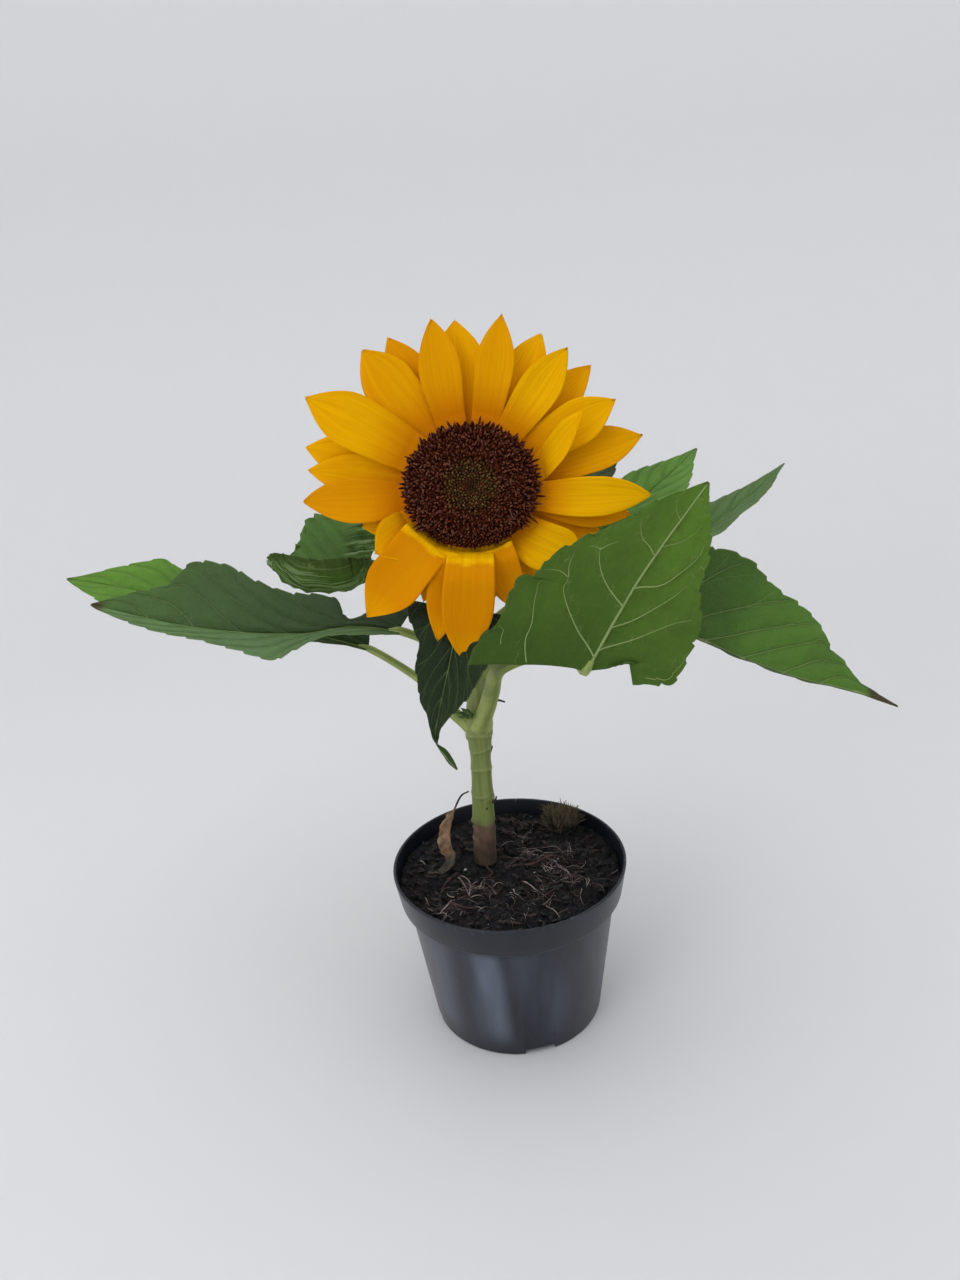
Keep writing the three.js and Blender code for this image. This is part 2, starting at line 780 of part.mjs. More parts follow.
for (const leaf of leaves) {
  plant.add(mesh(`petiole_${leaf.name}`, petioleLimb(leaf), colours.petiole, 0.6));
  plant.add(mesh(`leaf_${leaf.name}`, leafBlade(leaf), colours.leaf, 0.55));
}

petals.forEach((row, index) => {
  const number = String(index + 1).padStart(2, '0');
  plant.add(mesh(`petal_${number}`, petalBlade(row), colours.petal, 0.6));
});

export default plant;
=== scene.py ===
import math
import random

import bmesh
import bpy
import numpy as np
from mathutils import Matrix, Vector, noise


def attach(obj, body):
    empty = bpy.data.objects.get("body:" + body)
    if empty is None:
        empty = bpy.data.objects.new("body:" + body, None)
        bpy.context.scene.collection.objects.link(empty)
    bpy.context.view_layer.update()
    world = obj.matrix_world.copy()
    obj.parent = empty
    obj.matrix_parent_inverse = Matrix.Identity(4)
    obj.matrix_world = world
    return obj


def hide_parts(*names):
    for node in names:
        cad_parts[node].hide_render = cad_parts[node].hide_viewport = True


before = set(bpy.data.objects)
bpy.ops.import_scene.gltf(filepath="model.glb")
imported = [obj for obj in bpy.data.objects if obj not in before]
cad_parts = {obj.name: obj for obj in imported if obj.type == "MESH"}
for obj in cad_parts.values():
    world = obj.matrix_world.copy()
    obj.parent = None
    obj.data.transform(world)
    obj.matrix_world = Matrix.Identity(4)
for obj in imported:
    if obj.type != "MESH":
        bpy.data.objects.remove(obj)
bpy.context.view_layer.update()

# The camera stands 42 cm in front of the pot's axis and 37 cm above the table. It looks
# about 21 degrees down, and is turned a little on its own axis.

mm = 0.001
camera_place = Vector((0, -422, 368)) * mm
camera_down = math.radians(20.8)
camera_turn = math.radians(-0.86)
camera_roll = math.radians(-4.4)

ahead = Vector((
    math.sin(camera_turn) * math.cos(camera_down),
    math.cos(camera_turn) * math.cos(camera_down),
    -math.sin(camera_down),
))
level = Vector((math.cos(camera_turn), -math.sin(camera_turn), 0))
above = level.cross(ahead)
camera_right = level * math.cos(camera_roll) + above * math.sin(camera_roll)
camera_top = above * math.cos(camera_roll) - level * math.sin(camera_roll)

camera_data = bpy.data.cameras.new("camera")
camera_data.lens = 27
camera_data.sensor_width = 36
camera_data.clip_start = 0.01
camera = bpy.data.objects.new("camera", camera_data)
turned_axes = Matrix((camera_right, camera_top, -ahead)).transposed()
camera.matrix_world = Matrix.Translation(camera_place) @ turned_axes.to_4x4()
bpy.context.scene.collection.objects.link(camera)
bpy.context.scene.camera = camera
bpy.context.scene.view_settings.view_transform = "Standard"

# Soft studio light: a wide panel overhead, a tall one to the front left, and a pale room all round that
# fills the shade. The long soft highlights on the pot are drawn partly by the tall panel and partly painted
# into the pot's colour.


def light_panel(name, place, aim, width, height, watts):
    data = bpy.data.lights.new(name, "AREA")
    data.shape = "RECTANGLE"
    data.size = width
    data.size_y = height
    data.energy = watts
    lamp = bpy.data.objects.new(name, data)
    lamp.location = place
    lamp.rotation_euler = (Vector(aim) - Vector(place)).to_track_quat("-Z", "Y").to_euler()
    bpy.context.scene.collection.objects.link(lamp)


plant_middle = (0, 0, 0.2)
light_panel("overhead_panel", (-0.25, -0.15, 1.5), plant_middle, 2.2, 2.2, 7)
light_panel("window_panel", (-0.75, -0.9, 0.75), plant_middle, 0.5, 0.9, 3.5)

room = bpy.data.worlds.new("room")
room.use_nodes = True
room_colour = (0.95, 0.97, 1.0, 1)
room.node_tree.nodes["Background"].inputs["Color"].default_value = room_colour
room.node_tree.nodes["Background"].inputs["Strength"].default_value = 0.79
bpy.context.scene.world = room

# The studio is one pale sheet: a level floor that curves up into a round wall, so that the
# plant stands before the same plain ground from every side.


class Term:
    """A value that changes over a surface. A sum written with it adds the nodes that work it out."""

    def __init__(self, finish, socket):
        self.finish = finish
        self.socket = socket

    def math(self, operation, *terms):
        return self.finish.node("Math", {"operation": operation}, dict(enumerate(terms)))

    def __add__(self, other):
        return self.math("ADD", self, other)

    def __sub__(self, other):
        return self.math("SUBTRACT", self, other)

    def __rsub__(self, other):
        return self.math("SUBTRACT", other, self)

    def __mul__(self, other):
        return self.math("MULTIPLY", self, other)

    def __truediv__(self, other):
        return self.math("DIVIDE", self, other)

    __radd__ = __add__
    __rmul__ = __mul__

    def fract(self):
        return self.math("FRACT", self)

    def size(self):
        return self.math("ABSOLUTE", self)

    def wave(self):
        return self.math("SINE", self)

    def most(self, other):
        return self.math("MAXIMUM", self, other)

    def step(self, start, end):
        """0 before start, 1 past end, and a soft rise between them"""
        return self.finish.node(
            "MapRange",
            {"interpolation_type": "SMOOTHSTEP"},
            {"Value": self, "From Min": start, "From Max": end},
        )


class Finish:
    """A material. node() adds any node: its type, its settings, then its sockets."""

    def __init__(self, name):
        self.material = bpy.data.materials.new(name)
        self.material.use_nodes = True
        self.tree = self.material.node_tree
        self.surface = self.tree.nodes["Principled BSDF"]

    def feed(self, socket, value):
        if isinstance(value, Term):
            self.tree.links.new(value.socket, socket)
        elif socket.type == "RGBA":
            socket.default_value = (*value, 1)
        else:
            socket.default_value = value

    def node(self, kind, settings, sockets, output=0):
        made = self.tree.nodes.new("ShaderNode" + kind)
        for key, value in settings.items():
            setattr(made, key, value)
        for key, value in sockets.items():
            self.feed(made.inputs[key], value)
        return Term(self, made.outputs[output])

    def paint(self, **sockets):
        for key, value in sockets.items():
            self.feed(self.surface.inputs[key.replace("_", " ")], value)

    def blend(self, share, first, second):
        return self.node("Mix", {"data_type": "RGBA"}, {0: share, 6: first, 7: second}, 2)

    def layered(self, colour, *layers):
        """A colour with others laid over it one by one, each given as its share and the colour"""
        for share, over in layers:
            colour = self.blend(share, colour, over)
        return colour

    def place(self):
        """Where the surface point is, in metres"""
        return self.node("TexCoord", {}, {}, 3)

    def parts(self, vector):
        split = self.node("SeparateXYZ", {}, {0: vector})
        return [Term(self, socket) for socket in split.socket.node.outputs]

    def grain(self, scale, detail=3, vector=None, stretch=(1, 1, 1)):
        """Soft random grain from 0 to 1, scale times a metre or a unit of vector"""
        spread = self.node("Mapping", {}, {"Vector": vector or self.place(), "Scale": stretch})
        sockets = {"Vector": spread, "Scale": scale, "Detail": detail}
        return self.node("TexNoise", {}, sockets)

    def mesh_value(self, name):
        return self.node("Attribute", {"attribute_name": name}, {}, 2)

    def relief(self, height, depth):
        return self.node("Bump", {}, {"Height": height, "Distance": depth})


def srgb(red, green, blue):
    """A colour given as 0 to 255, as the light that it stands for"""
    return tuple(((c / 255 + 0.055) / 1.055) ** 2.4 for c in (red, green, blue))


def new_piece(name, points, faces, finish, values=None, maps=None, limit=None):
    """A mesh object from points in millimetres. values are numbers for each point, maps are
    pairs for each face corner, and edges that turn by more than limit degrees stay sharp."""
    mesh = bpy.data.meshes.new(name)
    mesh.from_pydata((np.asarray(points) * mm).tolist(), [], [tuple(face) for face in faces])
    mesh.polygons.foreach_set("use_smooth", [True] * len(mesh.polygons))
    for key, numbers in (values or {}).items():
        held = mesh.attributes.new(key, "FLOAT", "POINT")
        held.data.foreach_set("value", np.asarray(numbers, np.float32))
    for key, pairs in (maps or {}).items():
        held = mesh.uv_layers.new(name=key)
        held.uv.foreach_set("vector", np.asarray(pairs, np.float32).ravel())
    if limit:
        mesh.set_sharp_from_angle(angle=math.radians(limit))
    mesh.materials.append(finish.material)
    piece = bpy.data.objects.new(name, mesh)
    bpy.context.scene.collection.objects.link(piece)
    return piece


def grid_faces(rows, columns, closed=False):
    """Four-sided faces between the points of a grid that is listed row by row"""
    row, column = np.meshgrid(
        np.arange(rows - 1), np.arange(columns if closed else columns - 1), indexing="ij"
    )
    after = (column + 1) % columns
    corners = [row * columns + column, row * columns + after]
    corners += [(row + 1) * columns + after, (row + 1) * columns + column]
    return np.stack([corner.ravel() for corner in corners], 1)


def turned(profile, sides):
    """The points of a [radius, height] profile turned about the upright axis"""
    angles = np.linspace(0, 2 * np.pi, sides, endpoint=False)
    radius, height = np.asarray(profile, float).T[:, :, None]
    flat = np.zeros(sides)
    points = np.stack([radius * np.cos(angles), radius * np.sin(angles), height + flat], 2)
    return points.reshape(-1, 3)


studio_flat = 700
studio_wall = 1250
studio_height = 1500
studio_sides = 96
studio_drop = np.array([0, 0, 0.4])
bend = np.linspace(0, np.pi / 2, 13)
bend_radius = studio_wall - studio_flat
studio_profile = [[1, 0]]
studio_profile += [
    [studio_flat + bend_radius * math.sin(a), bend_radius * (1 - math.cos(a))] for a in bend
]
studio_profile += [[studio_wall, studio_height]]

studio_finish = Finish("pale studio sheet")
studio_finish.paint(Base_Color=srgb(229, 229, 230), Roughness=0.6)
studio_points = turned(studio_profile, studio_sides) - studio_drop
studio_faces = grid_faces(len(studio_profile), studio_sides, True)[:, ::-1]
studio = new_piece("studio_sheet", studio_points, studio_faces, studio_finish)

# The pot: one thin vessel of dark blue-grey polypropylene, injection moulded, with a wide band
# round its rim that stiffens it, a rounded lip, and drain notches cut in the edge of its foot.

pot = dict(rim=60, height=87, band=16, band_foot=57.2, shoulder=53.8, base=44.2)
pot_wall = 1.4
pot_floor = 1.6
lip_round = 0.2
notch = dict(count=4, wide=15.5, high=3.2, turn=78, reach=8, inset=0.5)
shoulder = pot["height"] - pot["band"]
inner_band = pot["band_foot"] - pot_wall


def softened(profile, reach):
    """The profile with each of its corners rounded off, reach millimetres to either side"""
    points = [np.array(point, float) for point in profile]
    soft = [points[0]]
    for before, corner, after in zip(points, points[1:], points[2:]):
        arm = min(reach, np.linalg.norm(corner - before) / 2.2, np.linalg.norm(after - corner) / 2.2)
        start = corner + arm * (before - corner) / np.linalg.norm(before - corner)
        end = corner + arm * (after - corner) / np.linalg.norm(after - corner)
        for t in (0, 0.25, 0.5, 0.75, 1):
            soft.append((1 - t) ** 2 * start + 2 * t * (1 - t) * corner + t * t * end)
    return soft + [points[-1]]


def capped_faces(rings, sides):
    """The faces of a closed form made of rings of points, with a flat face at either end"""
    faces = [tuple(face) for face in grid_faces(rings, sides, True)]
    faces.append(tuple(range(sides))[::-1])
    faces.append(tuple(range((rings - 1) * sides, rings * sides)))
    return faces


def close_to(distance, reach):
    """1 where the distance is nothing, with a soft fall to 0 at reach"""
    return 1 - (distance.size() / reach).step(0.1, 1)


pot_profile = softened([
    [0.2, 0],
    [pot["base"], 0],
    [pot["shoulder"], shoulder],
    [pot["band_foot"], shoulder],
    [pot["rim"] - 2 * lip_round, pot["height"] - 8 * lip_round],
    [pot["rim"] - lip_round, pot["height"]],
    [pot["rim"] - pot_wall - lip_round, pot["height"]],
    [inner_band, shoulder + pot_wall],
    [pot["shoulder"] - pot_wall, shoulder + pot_wall],
    [pot["base"] - pot_wall, pot_floor],
    [0.2, pot_floor],
], 0.7)

pot_finish = Finish("dark satin pot plastic")
here = pot_finish.place()
across_pot, depth_pot, height_pot = pot_finish.parts(here)
cloud = pot_finish.grain(28, 4)
streak = pot_finish.grain(60, 3, stretch=(1, 1, 0.12))
scuff = pot_finish.grain(420, 5, stretch=(1, 1, 0.5)).step(0.6, 0.74)
near_lip = height_pot.step(0.0835, 0.0868)
near_shoulder = close_to(height_pot - 0.0715, 0.004)
dust = (cloud * (near_lip * 0.8 + near_shoulder * 0.3 + 0.06)).step(0.16, 0.7)

# Painted highlights: pale upright streaks that stand in for the soft reflections of the lamps,
# strongest on the front below the band, with fainter pale patches all round the body
body = height_pot.step(0.071, 0.064) * height_pot.step(0.002, 0.02)
front = depth_pot.step(-0.01, -0.03)
first_painted_highlight = close_to(across_pot + 0.0092 + height_pot * 0.08, 0.009)
second_painted_highlight = close_to(across_pot + 0.014 + height_pot * 0.04, 0.013)
left_sheen = close_to(across_pot + 0.036 + height_pot * 0.05, 0.012)
painted_highlights = (first_painted_highlight + second_painted_highlight * 0.45 + left_sheen * 0.6) * body * front
painted_highlights = painted_highlights * (streak * 1.6 - 0.15) + streak.step(0.45, 0.8) * body * 0.25
# Painted shade: the inside of the wall above the soil is darkened
from_axis_squared = across_pot * across_pot + depth_pot * depth_pot
inside = height_pot.step(0.0735, 0.076) * from_axis_squared.step(0.00345, 0.0033)
plastic = pot_finish.layered(
    pot_finish.blend(cloud.step(0.35, 0.7), srgb(19, 24, 35), srgb(27, 33, 46)),
    # Painted highlights laid over the plastic
    (painted_highlights * 0.9, srgb(104, 113, 130)),
    (dust * 0.3, srgb(66, 66, 70)),
    (scuff * (near_lip + near_shoulder * 0.6 + 0.03) * 0.5, srgb(112, 110, 112)),
    # Painted shade inside the rim
    (inside * 0.6, srgb(14, 16, 22)),
)
pot_finish.paint(
    Base_Color=plastic,
    Roughness=cloud * 0.12 + streak * 0.1 + dust * 0.15 + 0.22,
    Specular_IOR_Level=0.42,
    Normal=pot_finish.relief(scuff * 0.4 + pot_finish.grain(1500, 2) * 0.3 + streak * 0.5, 0.00012),
)

pot_sides = 144
pot_points = turned(pot_profile, pot_sides)
pot_faces = capped_faces(len(pot_profile), pot_sides)
pot_piece = new_piece("nursery_pot", pot_points, pot_faces, pot_finish)

cutters = bmesh.new()
for i in range(notch["count"]):
    angle = math.radians(-notch["turn"] + i * 360 / notch["count"])
    turn = Matrix.Rotation(angle, 4, "Z")
    place = Matrix.Translation(Vector((pot["base"] - notch["inset"], 0, 0)) * mm)
    stretch = Matrix.Diagonal(Vector((notch["reach"], notch["wide"], 2 * notch["high"], 1000)) * mm)
    bmesh.ops.create_cube(cutters, size=1, matrix=turn @ place @ stretch)
cutter_mesh = bpy.data.meshes.new("notch_cutters")
cutters.to_mesh(cutter_mesh)
cutters.free()
cutter = bpy.data.objects.new("notch_cutters", cutter_mesh)
bpy.context.scene.collection.objects.link(cutter)


def applied(piece):
    """Turns a piece's modifiers into its mesh"""
    shown = piece.evaluated_get(bpy.context.evaluated_depsgraph_get())
    mesh = bpy.data.meshes.new_from_object(shown)
    piece.modifiers.clear()
    piece.data = mesh
    return mesh


cut = pot_piece.modifiers.new("notches", "BOOLEAN")
cut.operation = "DIFFERENCE"
cut.solver = "EXACT"
cut.object = cutter
applied(pot_piece).set_sharp_from_angle(angle=math.radians(40))
bpy.data.objects.remove(cutter)
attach(pot_piece, "root")
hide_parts("pot")

# The soil: moist dark peat, crumbly and uneven, that fills the pot to a finger's width below
# the lip. Loose crumbs lie on it, and dry pale and reddish roots and fibres of bark run over it.

soil = dict(edge=79.5, crown=81.2, bump=1.1)
stem_foot = (-12.3, 7.9)
cad_gap = 0.3


def ease(x):
    x = np.clip(x, 0, 1)
    return x * x * (3 - 2 * x)


def between(first, second, share):
    return first + (second - first) * share


def soil_top(x, y):
    """The height of the soil's lumps, the same as the solid's"""
    away = ease((np.hypot(x - stem_foot[0], y - stem_foot[1]) - 7) / 6)
    rim = ease((np.hypot(x, y) - 40) / 14)
    lumps = np.sin(x * 0.31 + 1.2) * np.cos(y * 0.27) + 0.6 * np.sin(x * 0.11 - y * 0.17)
    crown = soil["crown"] - cad_gap
    return between(crown, soil["edge"], rim) + away * (1 - rim) * soil["bump"] * lumps


def rough(x, y, size, seed=0.0):
    """Smooth random heights from -1 to 1 at points of the ground, size millimetres apart"""
    spots = zip(np.ravel(x) / size, np.ravel(y) / size)
    heights = [noise.noise(Vector((a, b, seed))) for a, b in spots]
    return np.reshape(heights, np.shape(x))


def ground(x, y):
    crumble = 2.2 * rough(x, y, 9, 1.5) + 1.6 * rough(x, y, 4, 7.1) + 1.0 * rough(x, y, 1.9, 3.3)
    calm = ease((np.hypot(x - stem_foot[0], y - stem_foot[1]) - 5) / 7)
    return soil_top(x, y) + crumble * (0.25 + 0.75 * calm) - 0.5


band_slope = 0.11
soil_clear = 0.1
soil_reach = inner_band + (soil["edge"] - shoulder) * band_slope - soil_clear
under_height = shoulder + 2.5
under_share = 0.97
soil_rings = 96
soil_sides = 224
ring, spoke = np.meshgrid(
    np.linspace(0.004, 1, soil_rings) ** 0.8 * soil_reach,
    np.linspace(0, 2 * np.pi, soil_sides, endpoint=False),
    indexing="ij",
)
soil_x = ring * np.cos(spoke)
soil_y = ring * np.sin(spoke)
soil_points = np.stack([soil_x, soil_y, ground(soil_x, soil_y)], 2).reshape(-1, 3)
under_ring = soil_points[-soil_sides:] * [under_share, under_share, 0] + [0, 0, under_height]
soil_points = np.concatenate([soil_points, under_ring])
soil_faces = capped_faces(soil_rings + 1, soil_sides)

soil_finish = Finish("moist peat")
fine = soil_finish.grain(900, 6)
coarse = soil_finish.grain(210, 4)
reddish = soil_finish.grain(95, 3).step(0.5, 0.7)
peat = soil_finish.layered(
    soil_finish.blend(coarse.step(0.38, 0.68), srgb(3, 4, 8), srgb(20, 20, 25)),
    (reddish * fine * 0.6, srgb(48, 32, 31)),
    (fine.step(0.66, 0.78) * 0.35, srgb(92, 76, 66)),
)
soil_finish.paint(
    Base_Color=peat,
    Roughness=fine * 0.4 + 0.5,
    Specular_IOR_Level=0.3,
    Normal=soil_finish.relief(fine + coarse * 0.6, 0.0012),
)
soil_piece = new_piece("potting_soil", soil_points, soil_faces, soil_finish)
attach(soil_piece, "root")
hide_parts("soil")


def unit(vectors):
    return vectors / np.maximum(np.linalg.norm(vectors, axis=-1, keepdims=True), 1e-9)


def gathered(shapes):
    """Several (points, faces) shapes as one"""
    points = []
    faces = []
    count = 0
    for shape_points, shape_faces in shapes:
        points.append(shape_points)
        faces += [tuple(int(corner) + count for corner in face) for face in shape_faces]
        count += len(shape_points)
    return np.concatenate(points), faces


def smooth_path(stops, count):
    """Points at even steps along a smooth curve through the stops"""
    stops = np.asarray(stops, float)
    ends = [2 * stops[0] - stops[1], *stops, 2 * stops[-1] - stops[-2]]
    fine_points = []
    for a, b, c, d in zip(ends, ends[1:], ends[2:], ends[3:]):
        # Centripetal spacing, as the solids' curves have
        ab, bc, cd = [max(np.linalg.norm(q - p), 1e-4) ** 0.5 for p, q in ((a, b), (b, c), (c, d))]
        leave = ((b - a) / ab - (c - a) / (ab + bc) + (c - b) / bc) * bc
        arrive = ((c - b) / bc - (d - b) / (bc + cd) + (d - c) / cd) * bc
        for t in np.linspace(0, 1, 24, endpoint=False):
            fine_points.append(
                (2 * t**3 - 3 * t**2 + 1) * b
                + (t**3 - 2 * t**2 + t) * leave
                + (3 * t**2 - 2 * t**3) * c
                + (t**3 - t**2) * arrive
            )
    fine_points = np.array([*fine_points, stops[-1]])
    run = np.concatenate([[0], np.cumsum(np.linalg.norm(np.diff(fine_points, axis=0), axis=1))])
    wanted = np.linspace(0, run[-1], count)
    return np.stack([np.interp(wanted, run, fine_points[:, i]) for i in range(3)], 1)


def tube(path, radii, sides):
    """A round limb along a path of points, closed at both ends"""
    along = unit(np.gradient(path, axis=0))
    across = unit(np.cross(along[0], [0.3, 0.9, 0.31]))
    rings = []
    for point, heading, radius in zip(path, along, np.broadcast_to(radii, len(path))):
        across = unit(across - heading * np.dot(across, heading))
        upright = np.cross(heading, across)
        angles = np.linspace(0, 2 * np.pi, sides, endpoint=False)[:, None]
        rings.append(point + radius * (np.cos(angles) * across + np.sin(angles) * upright))
    return np.concatenate(rings), capped_faces(len(path), sides)


dice = random.Random(11)
fifth_turn = 1.2566
sliver_from = 1.5


def crumb(x, y, size, long=1.0):
    """A broken angular lump of peat or bark that lies on the ground, long times its width"""
    centre = np.array([x, y, ground(x, y) + 0.25 * size])
    turn = np.array(Matrix.Rotation(dice.uniform(0, 6.3), 3, Vector((dice.random(), dice.random(), 1))))
    if long > sliver_from:
        turn = np.array(Matrix.Rotation(dice.uniform(0, 6.3), 3, Vector((0.1, 0.1, 1))))
    corners = []
    for a in range(5):
        angle = a * fifth_turn
        wide = size * dice.uniform(0.35, 0.6)
        corners.append([wide * math.cos(angle), wide * math.sin(angle), size * dice.uniform(-0.1, 0.1)])
    corners.append([0, 0, size * dice.uniform(0.25, 0.4)])
    corners.append([0, 0, -size * dice.uniform(0.2, 0.35)])
    points = np.array(corners) * [long * dice.uniform(0.8, 1.7), 1, 1] @ turn.T + centre
    faces = [(a, (a + 1) % 5, 5) for a in range(5)] + [((a + 1) % 5, a, 6) for a in range(5)]
    return points, faces


def loose_spot(reach):
    """A random spot on the open soil, within reach of the pot's axis and off the stem's foot"""
    while True:
        angle = dice.uniform(0, 2 * math.pi)
        away = reach * math.sqrt(dice.random())
        x = away * math.cos(angle)
        y = away * math.sin(angle)
        if math.hypot(x - stem_foot[0], y - stem_foot[1]) > 8.5:
            return x, y


crumb_count = 1700
chip_count = 190
grain_count = 34
sharp_edges = 25
crumbs = [crumb(*loose_spot(soil_reach - 2), 0.9 + 3.0 * dice.random() ** 2.5) for _ in range(crumb_count)]
crumb_finish = Finish("peat crumbs")
crumb_tint = crumb_finish.grain(330, 2)
crumb_colour = crumb_finish.blend(crumb_tint.step(0.35, 0.7), srgb(6, 7, 11), srgb(34, 31, 34))
crumb_finish.paint(
    Base_Color=crumb_colour,
    Roughness=crumb_finish.grain(2000, 2) * 0.4 + 0.42,
    Specular_IOR_Level=0.4,
    Normal=crumb_finish.relief(crumb_finish.grain(2500, 3), 0.0004),
)
crumb_piece = new_piece("peat_crumbs", *gathered(crumbs), crumb_finish, limit=sharp_edges)
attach(crumb_piece, "root")

# Slivers of composted bark, brown and fibrous, some of them long
chips = [
    crumb(*loose_spot(soil_reach - 6), dice.uniform(1.2, 2.6), dice.uniform(1.6, 4))
    for _ in range(chip_count)
]
chip_finish = Finish("composted bark slivers")
chip_tint = chip_finish.grain(150, 2)
chip_streak = chip_finish.grain(1200, 3, stretch=(1, 0.3, 1))
chip_colour = chip_finish.blend(chip_tint.step(0.35, 0.65), srgb(18, 14, 15), srgb(56, 39, 36))
chip_finish.paint(
    Base_Color=chip_finish.blend(chip_streak.step(0.5, 0.75) * 0.5, chip_colour, srgb(104, 76, 62)),
    Roughness=0.7,
    Normal=chip_finish.relief(chip_streak, 0.0004),
)
chip_piece = new_piece("bark_slivers", *gathered(chips), chip_finish, limit=sharp_edges)
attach(chip_piece, "root")


def fibre(x, y, heading, length, thick, bow, proud):
    """A root or fibre that lies on the ground from x, y, bends by bow, and rises by proud"""
    steps = max(6, int(length / 1.6))
    points = []
    for i in range(steps):
        share = i / (steps - 1)
        heading += bow / steps + dice.uniform(-0.22, 0.22)
        x += math.cos(heading) * length / steps
        y += math.sin(heading) * length / steps
        inside = min(1, (soil_reach - 1.5) / max(math.hypot(x, y), 1e-6))
        x *= inside
        y *= inside
        rise = thick * 0.6 + 0.7 + proud * math.sin(math.pi * share) ** 1.5
        points.append([x, y, soil_top(x, y) + rise])
    radii = thick * np.linspace(1, 0.35, steps)
    return tube(np.array(points), radii, 5)


root_steps = 16


def laid_root(stops, thick, proud):
    """A larger root that lies through given spots of the soil"""
    path = smooth_path([(x, y, 0) for x, y in stops], root_steps)
    x, y, _ = path.T
    path[:, 2] = soil_top(x, y) + thick + 0.6
    path[:, 2] += proud * np.sin(np.linspace(0, np.pi, root_steps)) + 0.4 * rough(x, y, 3, 2)
    return tube(path, thick * np.linspace(1, 0.4, root_steps), 6)


# Where the roots lie thick: x, y, spread, number, longest
root_beds = [
    (-33, -34, 10, 34, 12),
    (-24, -16, 8, 30, 12),
    (-14, -18, 10, 30, 11),
    (2, -24, 14, 30, 13),
    (24, -6, 13, 70, 17),
    (18, 8, 10, 60, 16),
    (32, -22, 13, 36, 14),
    (0, 26, 16, 30, 12),
    (-4, -40, 18, 30, 8),
]
pale_roots = []
red_roots = []
for bed_x, bed_y, spread, number, longest in root_beds:
    for i in range(number):
        root = fibre(
            bed_x + dice.gauss(0, spread) * 0.6,
            bed_y + dice.gauss(0, spread) * 0.45,
            dice.uniform(0, 6.28),
            dice.uniform(0.3, 1) * longest,
            dice.uniform(0.07, 0.2),
            dice.uniform(-1.8, 1.8),
            dice.uniform(0, 1.6),
        )
        (red_roots if i % 5 < 3 else pale_roots).append(root)

# The roots that stand out: their spots, half their thickness, how far they rise
pale_lines = [
    ([(-27, -6), (-24, -15), (-21, -25)], 0.36, 2.5),
    ([(-21, -25), (-19, -18), (-16, -10)], 0.34, 2.5),
    ([(-26, -4), (-21, -11), (-20, -21)], 0.28, 1.5),
    ([(-35, -34), (-31, -31), (-28, -25)], 0.34, 1.5),
    ([(-37, -34), (-32, -37), (-34, -40)], 0.3, 1.0),
    ([(6, -14), (11, -20), (17, -29)], 0.34, 1.5),
    ([(18, 16), (24, 14), (28, 8)], 0.3, 1.5),
    ([(16, -36), (20, -40), (22, -44)], 0.28, 0.6),
    ([(-47, 12), (-44, 7)], 0.34, 0.5),
    ([(-43, -21), (-41, -27)], 0.36, 0.5),
    ([(25, -3), (29, -10), (31, -17)], 0.26, 1.2),
    ([(38, -15), (39, -19), (37, -23)], 0.24, 1.0),
    ([(-16, -19), (-14, -13), (-12, -9)], 0.26, 1.0),
    ([(1, -21), (2, -27)], 0.3, 0.5),
]
red_lines = [
    ([(-27, -3), (-31, -10), (-35, -17)], 1.1, 0.4),
    ([(4, -1), (14, 0), (23, 3), (34, 2)], 0.6, 1.2),
    ([(14, -19), (26, -16), (38, -15)], 0.5, 0.8),
    ([(-12, 1), (-9, -5), (-12, -12)], 0.5, 0.4),
    ([(-3, 33), (0, 28), (7, 24)], 0.4, 1.0),
    ([(29, -25), (32, -31)], 0.4, 0.5),
    ([(-30, -30), (-22, -33), (-16, -30)], 0.7, 0.3),
    ([(10, -34), (17, -27), (22, -24)], 0.5, 0.4),
]
pale_roots += [laid_root(*line) for line in pale_lines]
red_roots += [laid_root(*line) for line in red_lines]


def speckled(name, scale, detail, dark, light, roughness, start=0.3, end=0.7):
    """A finish with a soft grain between a dark and a light colour"""
    finish = Finish(name)
    tint = finish.grain(scale, detail).step(start, end)
    finish.paint(Base_Color=finish.blend(tint, srgb(*dark), srgb(*light)), Roughness=roughness)
    return finish


pale_finish = speckled("dry pale roots", 160, 2, (92, 78, 76), (186, 168, 160), 0.75)
pale_piece = new_piece("dry_roots", *gathered(pale_roots), pale_finish)
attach(pale_piece, "root")

red_finish = speckled("reddish bark fibres", 140, 2, (36, 24, 25), (84, 56, 51), 0.8)
red_piece = new_piece("bark_fibres", *gathered(red_roots), red_finish)
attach(red_piece, "root")

white_finish = Finish("white mineral grains")
white_finish.paint(Base_Color=srgb(190, 188, 186), Roughness=0.8)
grains = [crumb(*loose_spot(soil_reach - 3), dice.uniform(0.4, 1.0)) for _ in range(grain_count)]
grains.append(crumb(-23, 1.6, 2.6))
grains.append(crumb(12.3, -4.8, 1.6))
grain_piece = new_piece("mineral_grains", *gathered(grains), white_finish, limit=sharp_edges)
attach(grain_piece, "root")

# The moss: one olive-brown tuft of short curved shoots that grows from the soil near the back
# of the rim, dry and pale at its tips.

